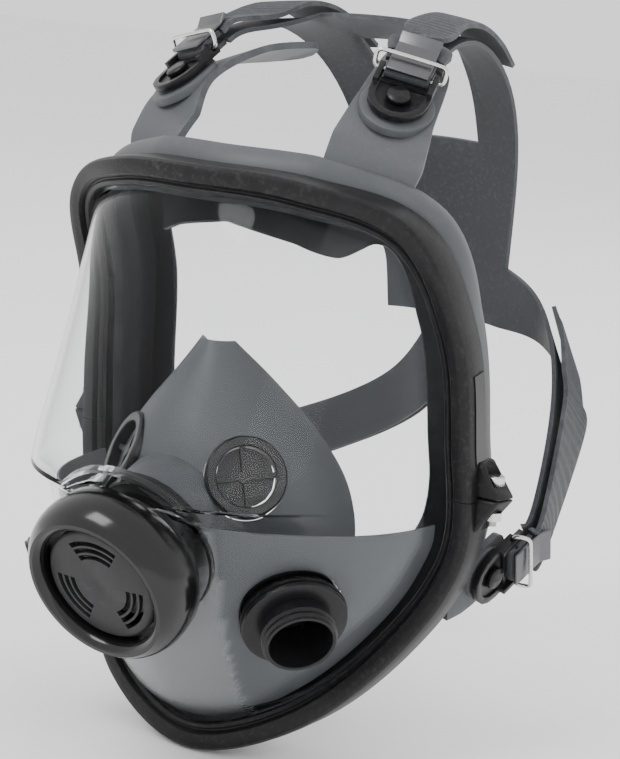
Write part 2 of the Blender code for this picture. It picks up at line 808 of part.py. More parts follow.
def make_check_valves():
    for name, place in CHECKS.items():
        spoked_seat("check_seat_" + name, place, CHECK_RADIUS, CHECK_BORE,
                    -CHECK_DEPTH / 2, CHECK_DEPTH / 2, 4, 2.2, "black_plastic")
        top = -CHECK_DEPTH / 2 + 1.2 - GAP
        valve_flap("check_flap_" + name, place, CHECK_BORE - 0.5, top, "silicone")


# Cartridge ports

def thread_profile(root, crest, low, high):
    """Outer side of a threaded stub, top to bottom, as round ridges."""
    points = [(root, high)]
    count = int((high - low - 2) / THREAD_PITCH)
    for index in range(count):
        top = high - 1.2 - index * THREAD_PITCH
        points += [(root, top), (crest, top - THREAD_PITCH * 0.3),
                   (crest, top - THREAD_PITCH * 0.5), (root, top - THREAD_PITCH * 0.8)]
    return points


def make_ports():
    for name, place in PORTS.items():
        tail = -PORT_BOSS_DEPTH - 6.5
        stub = thread_profile(PORT_STUB - 0.9, PORT_STUB, 5.0, PORT_LENGTH)
        profile = [(PORT_BORE, PORT_LENGTH)] + stub
        profile += [(PORT_STUB - 0.9, 5.0), (PORT_FLANGE - 0.6, 5.0), (PORT_FLANGE, 4.4),
                    (PORT_FLANGE, 2.5), (PORT_STUB - 0.4, 2.5), (PORT_STUB - 0.4, tail),
                    (PORT_BORE, tail)]
        body = add_object("port_" + name, turned(profile, place, 16), "black_plastic")
        seat = -PORT_BOSS_DEPTH
        hub = rod(2.4, seat, seat + 1.6, place, 12)
        boolean(body, cutter("port_hub_" + name, hub), "UNION")
        for index in range(5):
            turn = place @ Matrix.Rotation(2 * pi * index / 5 + 0.3, 4, "Z")
            outline = box_outline(1.2, -0.8, PORT_BORE + 0.8, 0.8)
            arm = slab(outline, seat + 0.1, seat + 1.5, turn)
            boolean(body, cutter("port_spoke_" + name + str(index), arm), "UNION")
        gasket = tube(PORT_STUB + 0.3, PORT_FLANGE + 0.4, 0.9, 2.2, place, 24)
        add_object("port_gasket_" + name, gasket, "rubber_black")
        nut = tube(PORT_STUB, PORT_FLANGE - 1.6, tail + 0.6, -PORT_BOSS_DEPTH - GAP, place, 24)
        add_object("port_nut_" + name, nut, "black_plastic")
        valve_flap("inhale_flap_" + name, place, PORT_BORE - 0.5, seat - GAP, "silicone")


# Speech and exhalation unit

def make_front_unit():
    bore, wall = HOUSING_BORE, HOUSING_WALL
    outer = bore + wall
    back = -BOSS_DEPTH - 12
    profile = [(bore, 12), (outer, 12), (outer, 4.4), (HOUSING_FLANGE, 4.4),
               (HOUSING_FLANGE, 2.4), (outer, 2.4), (outer, back), (bore, back)]
    housing = add_object("front_housing", turned(profile, VALVE, 28), "black_plastic")
    boolean(housing, cutter("housing_hub", rod(3.4, 0, 2.0, VALVE, 16)), "UNION")
    for index in range(4):
        turn = VALVE @ Matrix.Rotation(pi * index / 2 + pi / 4, 4, "Z")
        arm = slab(box_outline(1.5, -1.2, bore + 1, 1.2), 0.1, 1.9, turn)
        boolean(housing, cutter("housing_spoke_" + str(index), arm), "UNION")
    gasket = tube(outer + GAP, HOUSING_FLANGE - 0.6, 1.1, 2.1, VALVE, 28)
    add_object("housing_gasket", gasket, "rubber_black")
    nut = tube(outer + GAP, outer + 6.0, -BOSS_DEPTH - 3.9, -BOSS_DEPTH - GAP, VALVE, 28)
    add_object("housing_nut", nut, "black_plastic")
    flap = turned([(0, 3.2), (bore - 0.8, 3.2), (bore - 0.8, 2.3), (0, 2.3)], VALVE, 28)
    set_origin(add_object("exhale_flap", flap, "silicone"), VALVE.to_translation())
    seat = tube(bore - 3.4, bore + 0.6, 7.4, 9.0, VALVE, 28)
    boolean(housing, cutter("housing_diaphragm_seat", seat), "UNION")
    oring = tube(bore - 2.6, bore - GAP, 9.3, 10.5, VALVE, 28)
    add_object("diaphragm_oring", oring, "rubber_black")
    disc = rod(bore - GAP, 10.8, 11.5, VALVE, 28)
    add_object("speech_diaphragm", disc, "silicone")
    make_cover()


def make_cover():
    """Domed ring that snaps over the housing, and the grille that turns in it."""
    r = COVER_RADIUS
    outer = HOUSING_BORE + HOUSING_WALL
    top = GRILLE_HEIGHT
    mouth = GRILLE_RADIUS + 1.8
    profile = [(mouth, top + 0.5), (mouth + 1.0, top + 3.2), (mouth + 3.4, top + 4.6),
               (r - 3.6, top + 3.0), (r - 1.2, top - 1.5), (r, top - 7.5),
               (r - 0.3, top - 12.0), (r - 1.6, 4.9), (r - 3.6, 4.9), (r - 2.9, top - 9.0),
               (r - 5.4, top - 3.4), (mouth + 2.4, top - 3.4), (mouth + 2.4, top - 6.2),
               (outer + 3.6, top - 6.2), (outer + 3.6, 7.5), (outer + GAP, 7.5),
               (outer + GAP, 9.8), (outer + 1.6, 10.8), (outer + 1.6, top - 8.4),
               (mouth - 3.0, top - 8.4), (mouth - 3.0, top - 4.6), (mouth, top - 4.6)]
    cover = add_object("cover_ring", turned(profile, VALVE, 28), "gloss_black")
    set_origin(cover, VALVE.to_translation())
    radius = GRILLE_RADIUS
    plate = turned([(0, top), (radius - 0.8, top), (radius, top - 0.8), (radius, top - 4.2),
                    (radius - 2.6, top - 4.2), (radius - 2.6, top - 2.2), (0, top - 2.2)],
                   VALVE, 28)
    grille = add_object("speech_grille", plate, "black_plastic")
    set_origin(grille, VALVE.to_translation())
    for window in range(3):
        middle = radians(90 + 120 * window)
        for rib in range(3):
            inner = radius * 0.50 + rib * 3.1
            outer_edge = inner + 2.1
            outline = arc_band(inner, outer_edge, middle, radians(33))
            hole = slab(outline, top - 6, top + 2, VALVE)
            boolean(grille, cutter("grille_hole_%d_%d" % (window, rib), hole), "DIFFERENCE")


def arc_band(inner, outer, middle, half, steps=4):
    turns = [middle - half + 2 * half * i / steps for i in range(steps + 1)]
    band = [(outer * cos(t), outer * sin(t)) for t in turns]
    return band + [(inner * cos(t), inner * sin(t)) for t in reversed(turns)]


# Buckles

BAR_HEIGHT = 6.2                # wire's middle above the tongue
LOW_LAYER = BAR_HEIGHT - WIRE_RADIUS - GAP - STRAP_THICKNESS   # strap under the wire
BAR_PLACE = 13.0                # wire's middle beyond the stud
HIGH_LAYER = BAR_HEIGHT + WIRE_RADIUS + GAP
PLATE_LOW = PAD_HEIGHT + 1.5
PLATE_HIGH = PAD_HEIGHT + 4.3


def make_buckle(name):
    place = PLACES[name]
    axis = place.to_translation()
    half = BUCKLE_WIDTH / 2
    turns = [pi + pi * i / 8 for i in range(9)]
    round_end = [(half * cos(a), half * sin(a)) for a in turns]
    outline = round_end + [(half, 8.4), (-half, 8.4)]
    frame = add_object("buckle_frame_" + name, slab(outline, PLATE_LOW, PLATE_HIGH, place),
                       "black_plastic")
    inset = [(x * 0.76, y * 0.76) for x, y in round_end]
    inset += [(half * 0.76, 6.2), (-half * 0.76, 6.2)]
    recess = slab(inset, PLATE_HIGH - 1.3, PLATE_HIGH + 3, place)
    boolean(frame, cutter("buckle_recess_" + name, recess), "DIFFERENCE")
    hole = rod(2.4 + GAP, 0, 12, place, 20)
    boolean(frame, cutter("buckle_hole_" + name, hole), "DIFFERENCE")
    for side, label in ((1, "a"), (-1, "b")):
        low, high = (half - 2.2, half) if side > 0 else (-half, -half + 2.2)
        outline = box_outline(low, 4.0, high, BAR_PLACE + 2.2)
        arm = slab(outline, PLATE_LOW, BAR_HEIGHT + 1.9, place)
        boolean(frame, cutter("buckle_arm_" + name + label, arm), "UNION")
        bar = place @ Matrix.Translation((side * half, BAR_PLACE, BAR_HEIGHT))
        bar = bar @ Matrix.Rotation(pi / 2, 4, "Y")
        eye = rod(WIRE_RADIUS + GAP, -4, 4, bar, 16)
        boolean(frame, cutter("buckle_eye_" + name + label, eye), "DIFFERENCE")
    set_origin(frame, axis)
    set_origin(add_object("buckle_wire_" + name, wire_shape(place, half), "steel"), axis)
    set_origin(add_object("buckle_lever_" + name, lever_shape(place), "black_plastic"),
               place @ Vector((0, BAR_PLACE, BAR_HEIGHT)))
    base = PAD_HEIGHT + GAP
    profile = [(0, base + 5.6), (STUD_RADIUS - 0.6, base + 5.6), (STUD_RADIUS, base + 5.0),
               (STUD_RADIUS, base + 3.3), (2.4, base + 2.9), (2.4, base + 0.9),
               (STUD_RADIUS, base + 0.8), (STUD_RADIUS, base), (0, base)]
    add_object("buckle_stud_" + name, turned(profile, place, 16), "black_plastic")


def wire_shape(place, half):
    """Closed wire link: the bar through the frame's arms and a second bar over the strap."""
    reach = half + 2.2
    rise = 7.8
    corners = [(-reach, 0), (reach, 0), (reach, rise), (-reach, rise)]
    path = []
    bend = 2.4
    for index, (x, h) in enumerate(corners):
        px, ph = corners[index - 1]
        nx, nh = corners[(index + 1) % 4]
        before = Vector((px - x, ph - h)).normalized() * bend
        after = Vector((nx - x, nh - h)).normalized() * bend
        centre = Vector((x, h)) + before + after
        for step in range(4):
            turn = step / 3 * pi / 2
            spot = centre - before * sin(turn) - after * cos(turn)
            path.append(spot)
    lean = Vector((0, 0.35, 0.94)).normalized()
    sections = []
    count = len(path)
    for index, spot in enumerate(path):
        here = Vector((spot.x, BAR_PLACE, BAR_HEIGHT)) + lean * spot.y
        run = path[(index + 1) % count] - path[index - 1]
        along = (Vector((run.x, 0, 0)) + lean * run.y).normalized()
        side = Vector((1, 0, 0)).cross(lean).normalized()
        out = along.cross(side)
        ring = [here + (side * cos(a) + out * sin(a)) * WIRE_RADIUS
                for a in [pi * i / 3 for i in range(6)]]
        sections.append([place @ p for p in ring])
    return swept(sections, True)


def lever_shape(place):
    """Release plate over the strap with a turned-up lip."""
    half = LEVER_WIDTH / 2
    middle = HIGH_LAYER + STRAP_THICKNESS + GAP + LEVER_WALL / 2
    line = [(BAR_PLACE - 4.6, middle), (BAR_PLACE + 4, middle), (BAR_PLACE + 12.6, middle),
            (BAR_PLACE + 17.0, middle + 2.8)]
    rows = [[place @ Vector((half * share, y, z)) for share in (-1, 0, 1)] for y, z in line]
    return thick_sheet(rows, LEVER_WALL)


# Straps and head harness

def strap_end(place):
    """Strap folded round the wire, ending in an arc about the stud."""
    half = STRAP_WIDTH / 2 - 2.6
    cut = SWIVEL_CUT - JOINT_GAP
    fold = WIRE_RADIUS + GAP + STRAP_THICKNESS / 2
    line = [(cut, BAR_HEIGHT - fold), (cut - 5, BAR_HEIGHT - fold)]
    for step in range(-4, 5):
        turn = pi / 2 * step / 4
        line.append((BAR_PLACE - fold * cos(turn), BAR_HEIGHT + fold * sin(turn)))
    line += [(cut - 5, BAR_HEIGHT + fold), (cut, BAR_HEIGHT + fold)]
    rows = []
    for y, z in line:
        row = []
        for share in (-1, -0.5, 0, 0.5, 1):
            across = half * share
            reach = (cut ** 2 - across ** 2) ** 0.5 if y == cut else y
            row.append(place @ Vector((across, reach, z)))
        rows.append(row)
    return thick_sheet(rows, STRAP_THICKNESS)


def strap_start(place, layer, cut=SWIVEL_CUT):
    """Points across the strap on the arc about the stud where the fixed strap begins."""
    half = STRAP_WIDTH / 2
    points = []
    for step in range(5):
        across = half * (step / 2 - 1)
        reach = (cut ** 2 - across ** 2) ** 0.5
        points.append(place @ Vector((across, reach, layer + STRAP_THICKNESS / 2)))
    return points


def band_row(middle, across, width=STRAP_WIDTH):
    return [middle + across * width * s / 4 for s in (-2, -1, 0, 1, 2)]


def upper_profile():
    """Harness line from the upper buckles over the crown to the nape: Y, Z."""
    return [
        (34, CROWN_HEIGHT - 6), (62, CROWN_HEIGHT), (92, CROWN_HEIGHT - 9),
        (HEAD_BACK - 27, CROWN_HEIGHT - 28), (HEAD_BACK - 11, CROWN_HEIGHT - 54),
        (HEAD_BACK - 3, CROWN_HEIGHT - 82), (HEAD_BACK, CROWN_HEIGHT - 110),
        (HEAD_BACK - 2, CROWN_HEIGHT - 138),
    ]


# Inner and outer edge of the side bands for each line of the profile
BAND_EDGES = [(31, 55), (28, 52), (25, 49), (22, 46), (19, 42), (18, PANEL_HALF + 2),
              (18, PANEL_HALF), (18, PANEL_HALF + 1)]
BAND_LEVELS = [0, 1, 2, 3, 4, 5, 6, 6.25, 6.5, 6.75, 7]
UPPER_TAIL = (0, 0.7, 1.3, 1.9, 2.5)   # levels the free tail lies over
LOWER_TAIL = 2              # lower arm rows left bare
TAIL_LIFT = 5.0
CROWN_ROWS = (1, 2)         # levels the crown band spans
WINDOW_END = 4              # first level of the nape panel
ARM_LEVEL = 6               # level the left lower arm leaves from
CORNER_CUT = 12.0           # off the nape panel's bottom corner on the right


def head_point(level, x):
    y, z, _ = catmull([(y, z, 0) for y, z in upper_profile()], level)
    return Vector((x, y - x * x / 260, z - x * x / 700))


def band_edge(level, side=1):
    """Inner and outer edge of a side band; the panel's right corner is cut back."""
    inner, outer, _ = catmull([(a, b, 0) for a, b in BAND_EDGES], level)
    if side < 0 and level > ARM_LEVEL - 1:
        outer -= (level - ARM_LEVEL + 1) * CORNER_CUT / 2
    return inner, outer


def add_quads(bm, upper, lower):
    for index in range(len(upper) - 1):
        corner = [bm.verts.new(p) for p in
                  (upper[index], lower[index], lower[index + 1], upper[index + 1])]
        bm.faces.new(corner)


def left_arm_start():
    """Left lower arm: from the side of the nape panel, forward round the head."""
    levels = [level for level in BAND_LEVELS if level >= ARM_LEVEL]
    rows = [[head_point(level, band_edge(level)[1]) for level in levels]]
    for middle, across in [((58, HEAD_BACK - 14, 41), (0.25, 0.1, -0.96)),
                           ((80, HEAD_BACK - 34, 27), (0.32, 0.25, -0.91)),
                           ((95, HEAD_BACK - 56, 3), (0.1, 0.75, -0.66))]:
        rows.append(band_row(Vector(middle), Vector(across).normalized()))
    return rows


def right_arm_start(place):
    """Right lower arm: hangs from the bottom of the nape panel, then comes forward."""
    last = BAND_LEVELS[-1]
    inner = band_edge(last)[0]
    root = [head_point(last, inner * s / 4) for s in range(5)]
    line = [root[2], Vector((5, HEAD_BACK - 7, 13)), Vector((-8, HEAD_BACK - 14, -7)),
            Vector((-34, HEAD_BACK - 25, -24)), Vector((-62, HEAD_BACK - 46, -36)),
            Vector((-86, HEAD_BACK - 66, -40))]
    rows = [root]
    for index in range(1, len(line)):
        ahead = line[min(index + 1, len(line) - 1)]
        outward = (line[index] - Vector((0, HEAD_BACK * 0.3, 0))).normalized()
        across = outward.cross(ahead - line[index - 1]).normalized()
        if index == len(line) - 1:
            across = place.to_3x3() @ Vector((1, 0, 0))
        if across.dot(rows[-1][-1] - rows[-1][0]) < 0:
            across = -across
        rows.append(band_row(line[index], across))
    return rows


def lower_arm_rows(place, side):
    """Rows of a lower arm from the nape panel to its buckle."""
    rows = left_arm_start() if side > 0 else right_arm_start(place)
    nearest = rows[-1][0]
    for cut in (SWIVEL_CUT + 8, SWIVEL_CUT):
        end = strap_start(place, LOW_LAYER, cut)
        flip = (end[0] - nearest).length > (end[-1] - nearest).length
        rows.append(end[::-1] if flip else end)
    return rows


def smooth_rows(rows, steps):
    """More rows on smooth curves through the same point of every row."""
    fine = []
    for index in range((len(rows) - 1) * steps + 1):
        place = index / steps
        fine.append([catmull([row[c] for row in rows], place) for c in range(len(rows[0]))])
    return fine


def make_harness():
    bm = bmesh.new()
    for name, (kind, side) in BUCKLES.items():
        place = PLACES[name]
        if kind == "upper":
            rows = []
            for level in BAND_LEVELS:
                inner, outer = band_edge(level, side)
                rows.append([head_point(level, side * (inner + (outer - inner) * s / 4))
                             for s in range(5)])
            flip = (PLACES[name] @ Vector((1, 0, 0)) - place.to_translation()).x * side < 0
            for cut in (SWIVEL_CUT + 8, SWIVEL_CUT):
                start = strap_start(place, LOW_LAYER, cut)
                rows.insert(0, start[::-1] if flip else start)
        else:
            rows = smooth_rows(lower_arm_rows(place, side), 2)
        for upper, lower in zip(rows, rows[1:]):
            add_quads(bm, upper, lower)
    panel = [level for level in BAND_LEVELS if level >= WINDOW_END]
    for upper, lower in [CROWN_ROWS] + list(zip(panel, panel[1:])):
        across = [[head_point(level, band_edge(level)[0] * s / 4) for s in range(-4, 5)]
                  for level in (upper, lower)]
        add_quads(bm, *across)
    bmesh.ops.remove_doubles(bm, verts=bm.verts, dist=0.01)
    bmesh.ops.recalc_face_normals(bm, faces=bm.faces)
    add_object("head_harness", thicken(bm, STRAP_THICKNESS), "harness_rubber")


def lifted(rows, height):
    """Rows moved off the head by a height, each along its own normal."""
    centre = Vector((0, HEAD_BACK * 0.45, 30))
    moved = []
    for index, row in enumerate(rows):
        run = rows[min(index + 1, len(rows) - 1)][2] - rows[max(index - 1, 0)][2]
        normal = (row[-1] - row[0]).cross(run).normalized()
        if normal.dot(row[2] - centre) < 0:
            normal = -normal
        moved.append([point + normal * height for point in row])
    return moved


def tail_rows(name):
    """Free tail: from the joint at the buckle, back over its own arm."""
    kind, side = BUCKLES[name]
    place = PLACES[name]
    first = [strap_start(place, HIGH_LAYER, cut) for cut in (SWIVEL_CUT, SWIVEL_CUT + 8)]
    if kind == "upper":
        arm = []
        for level in UPPER_TAIL:
            inner, outer = band_edge(level)
            arm.append([head_point(level, side * (inner + (outer - inner) * s / 4))
                        for s in range(5)])
    else:
        arm = smooth_rows(lower_arm_rows(place, side)[:-2], 2)[:LOWER_TAIL:-1]
    rows = lifted(arm, TAIL_LIFT)
    if (first[1][0] - rows[0][0]).length > (first[1][0] - rows[0][-1]).length:
        rows = [row[::-1] for row in rows]
    return first + rows


def make_straps():
    for name, place in PLACES.items():
        end = add_object("strap_end_" + name, strap_end(place), "harness_rubber")
        set_origin(end, place.to_translation())
        rows = smooth_rows(tail_rows(name), 1)
        add_object("strap_tail_" + name, thick_sheet(rows, STRAP_THICKNESS), "harness_rubber")


def main():
    clear_scene()
    make_lens()
    make_frame_half("frame_upper", 1)
    make_frame_half("frame_lower", -1)
    make_clamp_fasteners()
    make_facepiece()
    make_nose_cup()
    make_check_valves()
    make_ports()
    make_front_unit()
    for name in BUCKLES:
        make_buckle(name)
    make_harness()
    make_straps()
    finish_objects()


main()
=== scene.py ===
import json
from math import cos, pi, radians, sin

import bmesh
import bpy
from mathutils import Matrix, Vector


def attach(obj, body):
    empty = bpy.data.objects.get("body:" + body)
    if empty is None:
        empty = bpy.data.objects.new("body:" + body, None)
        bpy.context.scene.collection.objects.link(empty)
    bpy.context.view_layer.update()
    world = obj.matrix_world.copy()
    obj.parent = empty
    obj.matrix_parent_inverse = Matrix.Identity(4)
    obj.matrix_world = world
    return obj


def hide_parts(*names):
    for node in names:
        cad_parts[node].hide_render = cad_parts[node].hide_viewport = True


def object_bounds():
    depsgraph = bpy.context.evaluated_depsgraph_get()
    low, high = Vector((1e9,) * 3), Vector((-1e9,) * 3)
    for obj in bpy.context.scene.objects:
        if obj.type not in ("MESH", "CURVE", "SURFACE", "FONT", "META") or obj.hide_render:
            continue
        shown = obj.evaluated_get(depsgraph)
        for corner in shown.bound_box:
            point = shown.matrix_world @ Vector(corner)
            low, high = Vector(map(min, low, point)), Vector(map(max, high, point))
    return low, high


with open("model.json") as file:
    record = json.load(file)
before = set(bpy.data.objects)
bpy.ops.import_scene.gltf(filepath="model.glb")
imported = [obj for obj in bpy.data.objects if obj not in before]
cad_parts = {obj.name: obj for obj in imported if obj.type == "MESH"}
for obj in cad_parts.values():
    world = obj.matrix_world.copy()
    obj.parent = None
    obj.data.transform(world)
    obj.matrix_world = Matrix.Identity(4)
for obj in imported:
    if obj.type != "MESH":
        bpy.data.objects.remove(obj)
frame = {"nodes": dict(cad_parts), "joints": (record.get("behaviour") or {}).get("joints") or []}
cadBox = [list(corner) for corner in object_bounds()]
joints = {joint["name"]: joint for joint in frame["joints"]}
nodes = frame["nodes"]
print("frame loaded:", len(nodes), "nodes")

# Shapes are made in millimetres and turned to metres when a piece is finished
toMetres = 0.001
sides = {"left": 1, "right": -1}


# Materials

def shaderGroup(name, inputs, outputs):
    group = bpy.data.node_groups.new(name, "ShaderNodeTree")
    for label, value in inputs:
        socket = group.interface.new_socket(label, in_out="INPUT", socket_type="NodeSocketFloat")
        socket.default_value = value
    for label in outputs:
        group.interface.new_socket(label, in_out="OUTPUT", socket_type="NodeSocketFloat")
    return group, group.nodes.new("NodeGroupInput"), group.nodes.new("NodeGroupOutput")


def mathNode(tree, operation, first, second, clamp=False):
    node = tree.nodes.new("ShaderNodeMath")
    node.operation = operation
    node.use_clamp = clamp
    for socket, value in zip(node.inputs, (first, second)):
        if isinstance(value, (int, float)):
            socket.default_value = value
        else:
            tree.links.new(value, socket)
    return node.outputs[0]


def noiseNode(tree, coords, scale, detail):
    node = tree.nodes.new("ShaderNodeTexNoise")
    node.inputs["Detail"].default_value = detail
    tree.links.new(coords, node.inputs["Vector"])
    if isinstance(scale, (int, float)):
        node.inputs["Scale"].default_value = scale
    else:
        tree.links.new(scale, node.inputs["Scale"])
    return node.outputs["Fac"]


def makeGrainGroup():
    # fine moulded grain for the bump, broad mottling for colour and gloss
    group, source, result = shaderGroup("mouldedGrain", [("Scale", 900.0), ("Mottle", 28.0)],
                                        ["Height", "Tone"])
    coords = group.nodes.new("ShaderNodeTexCoord").outputs["Object"]
    fine = noiseNode(group, coords, source.outputs["Scale"], 3.0)
    broad = noiseNode(group, coords, source.outputs["Mottle"], 4.0)
    tone = mathNode(group, "ADD", mathNode(group, "MULTIPLY", broad, 0.75),
                    mathNode(group, "MULTIPLY", fine, 0.25))
    group.links.new(fine, result.inputs["Height"])
    group.links.new(tone, result.inputs["Tone"])
    return group


def makeWearGroup():
    # rubbed edges, broken up by noise
    group, source, result = shaderGroup("edgeWear", [("Amount", 0.5), ("Scale", 140.0)], ["Mask"])
    coords = group.nodes.new("ShaderNodeTexCoord").outputs["Object"]
    edge = group.nodes.new("ShaderNodeNewGeometry").outputs["Pointiness"]
    sharp = mathNode(group, "MULTIPLY", mathNode(group, "SUBTRACT", edge, 0.505), 14.0, True)
    patches = noiseNode(group, coords, source.outputs["Scale"], 5.0)
    broken = mathNode(group, "MULTIPLY", mathNode(group, "SUBTRACT", patches, 0.42), 4.0, True)
    mask = mathNode(group, "MULTIPLY", mathNode(group, "MULTIPLY", sharp, broken),
                    source.outputs["Amount"])
    group.links.new(mask, result.inputs["Mask"])
    return group


def makeDustGroup():
    # pale dust in scattered specks
    group, source, result = shaderGroup("dust", [("Amount", 0.2), ("Scale", 420.0)], ["Mask"])
    coords = group.nodes.new("ShaderNodeTexCoord").outputs["Object"]
    specks = noiseNode(group, coords, source.outputs["Scale"], 6.0)
    clouds = noiseNode(group, coords, 18.0, 3.0)
    mask = mathNode(group, "MULTIPLY", mathNode(group, "SUBTRACT", specks, 0.52), 5.0, True)
    mask = mathNode(group, "MULTIPLY", mask, mathNode(group, "SUBTRACT", clouds, 0.25, True))
    mask = mathNode(group, "MULTIPLY", mask, source.outputs["Amount"])
    group.links.new(mask, result.inputs["Mask"])
    return group


grainGroup = makeGrainGroup()
wearGroup = makeWearGroup()
dustGroup = makeDustGroup()

looks = {
    # colours dark and light, roughness low and high, grain per metre, then amounts;
    # tint is the attribute that marks where another colour goes, how much, and the colour
    "maskRubber": dict(dark=(0.052, 0.055, 0.061), light=(0.082, 0.086, 0.093), rough=(0.40, 0.54),
                       grain=1500, bump=0.04, wear=0.08, dust=0.08, coat=0.0, specular=0.32,
                       slot="rubber_grey"),
    # sealRubber: painted shade, the seal is made much darker on its turned-in inside, where the
    # inner attribute marks it
    "sealRubber": dict(dark=(0.052, 0.055, 0.061), light=(0.082, 0.086, 0.093), rough=(0.40, 0.54),
                       grain=1500, bump=0.05, wear=0.08, dust=0.10, coat=0.0, specular=0.32,
                       tint=("inner", 0.85, (0.012, 0.012, 0.014)), slot="rubber_grey"),
    # liningRubber: painted light, the lining is made much paler behind the pebbled lens panel,
    # standing in for the light that panel scatters
    "liningRubber": dict(dark=(0.075, 0.079, 0.086), light=(0.105, 0.110, 0.118),
                         rough=(0.38, 0.50), grain=620, bump=0.03, wear=0.0, dust=0.05, coat=0.0,
                         specular=0.3, tint=("pebbledAndPaintedLight", 0.75, (0.24, 0.245, 0.25)),
                         slot="rubber_grey"),
    "harnessRubber": dict(dark=(0.034, 0.036, 0.041), light=(0.054, 0.057, 0.063),
                          rough=(0.48, 0.62), grain=1300, bump=0.10, wear=0.20, dust=0.30,
                          coat=0.0, specular=0.3, slot="harness_rubber"),
    "frameRubber": dict(dark=(0.004, 0.004, 0.005), light=(0.009, 0.009, 0.010),
                        rough=(0.32, 0.52), grain=900, bump=0.16, wear=0.18, dust=0.14, coat=0.0,
                        specular=0.22, slot="rubber_black"),
    "mouldedBlack": dict(dark=(0.004, 0.004, 0.005), light=(0.008, 0.008, 0.009),
                         rough=(0.26, 0.40), grain=1600, bump=0.06, wear=0.10, dust=0.08, coat=0.0,
                         specular=0.28, slot="black_plastic"),
    "glossBlack": dict(dark=(0.003, 0.003, 0.003), light=(0.006, 0.006, 0.006),
                       rough=(0.14, 0.24), grain=700, bump=0.03, wear=0.06, dust=0.05, coat=0.25,
                       specular=0.3, slot="gloss_black"),
    "grilleGrey": dict(dark=(0.012, 0.012, 0.013), light=(0.022, 0.022, 0.024),
                       rough=(0.40, 0.52), grain=1400, bump=0.08, wear=0.15, dust=0.12, coat=0.0,
                       specular=0.3, slot="black_plastic"),
    "paleSilicone": dict(dark=(0.30, 0.30, 0.29), light=(0.42, 0.42, 0.40), rough=(0.36, 0.5),
                         grain=900, bump=0.05, wear=0.0, dust=0.05, coat=0.0, specular=0.4,
                         slot="silicone"),
    "labelBlack": dict(dark=(0.002, 0.002, 0.002), light=(0.004, 0.004, 0.004),
                       rough=(0.20, 0.28), grain=600, bump=0.02, wear=0.0, dust=0.06, coat=0.2,
                       specular=0.3, slot="rubber_black"),
}


def mixColour(tree, mask, first, second):
    node = tree.nodes.new("ShaderNodeMix")
    node.data_type = "RGBA"
    for socket, value in ((node.inputs[6], first), (node.inputs[7], second)):
        if isinstance(value, tuple):
            socket.default_value = (*value, 1)
        else:
            tree.links.new(value, socket)
    tree.links.new(mask, node.inputs[0])
    return node.outputs[2]


def groupNode(tree, group, **values):
    node = tree.nodes.new("ShaderNodeGroup")
    node.node_tree = group
    for label, value in values.items():
        node.inputs[label].default_value = value
    return node


def tintNode(tree, colour, attribute, amount, tint):
    # another colour where the piece's own attribute says so; it carries painted shade on the seal
    # and painted light on the lining
    mark = tree.nodes.new("ShaderNodeAttribute")
    mark.attribute_name = attribute
    mask = mathNode(tree, "MULTIPLY", mark.outputs["Fac"], amount)
    return mixColour(tree, mask, colour, tint)


def addBump(tree, shader, height, strength, distance):
    bump = tree.nodes.new("ShaderNodeBump")
    bump.inputs["Strength"].default_value = strength
    bump.inputs["Distance"].default_value = distance
    tree.links.new(height, bump.inputs["Height"])
    tree.links.new(bump.outputs["Normal"], shader.inputs["Normal"])


def emptyMaterial(name):
    made = bpy.data.materials.new(name)
    made.use_nodes = True
    return made, made.node_tree, made.node_tree.nodes["Principled BSDF"]


def surfaceMaterial(name, look):
    made, tree, shader = emptyMaterial(name)
    grain = groupNode(tree, grainGroup, Scale=look["grain"], Mottle=26.0)
    wear = groupNode(tree, wearGroup, Amount=look["wear"], Scale=150.0)
    dust = groupNode(tree, dustGroup, Amount=look["dust"], Scale=520.0)
    colour = mixColour(tree, grain.outputs["Tone"], look["dark"], look["light"])
    if "tint" in look:
        colour = tintNode(tree, colour, *look["tint"])
    worn = tuple(min(1, c * 3.2 + 0.02) for c in look["light"])
    colour = mixColour(tree, wear.outputs["Mask"], colour, worn)
    colour = mixColour(tree, dust.outputs["Mask"], colour, (0.32, 0.31, 0.29))
    tree.links.new(colour, shader.inputs["Base Color"])
    low, high = look["rough"]
    spread = mathNode(tree, "MULTIPLY", grain.outputs["Tone"], high - low)
    rough = mathNode(tree, "ADD", spread, low)
    dusty = mathNode(tree, "MULTIPLY", dust.outputs["Mask"], 0.3)
    rough = mathNode(tree, "ADD", rough, dusty, True)
    tree.links.new(rough, shader.inputs["Roughness"])
    addBump(tree, shader, grain.outputs["Height"], look["bump"], 0.0004)
    shader.inputs["Specular IOR Level"].default_value = look["specular"]
    shader.inputs["Coat Weight"].default_value = look["coat"]
    shader.inputs["Coat Roughness"].default_value = 0.12
    return made


def makeWireMaterial(name, colour, rough):
    made, tree, shader = emptyMaterial(name)
    shader.inputs["Metallic"].default_value = 1.0
    grain = groupNode(tree, grainGroup, Scale=1800.0, Mottle=220.0)
    dust = groupNode(tree, dustGroup, Amount=0.35, Scale=600.0)
    tone = mixColour(tree, grain.outputs["Tone"], tuple(c * 0.8 for c in colour), colour)
    tone = mixColour(tree, dust.outputs["Mask"], tone, (0.10, 0.09, 0.08))
    tree.links.new(tone, shader.inputs["Base Color"])
    low = mathNode(tree, "MULTIPLY", grain.outputs["Tone"], 0.2)
    tree.links.new(mathNode(tree, "ADD", low, rough), shader.inputs["Roughness"])
    addBump(tree, shader, grain.outputs["Height"], 0.08, 0.0002)
    return made


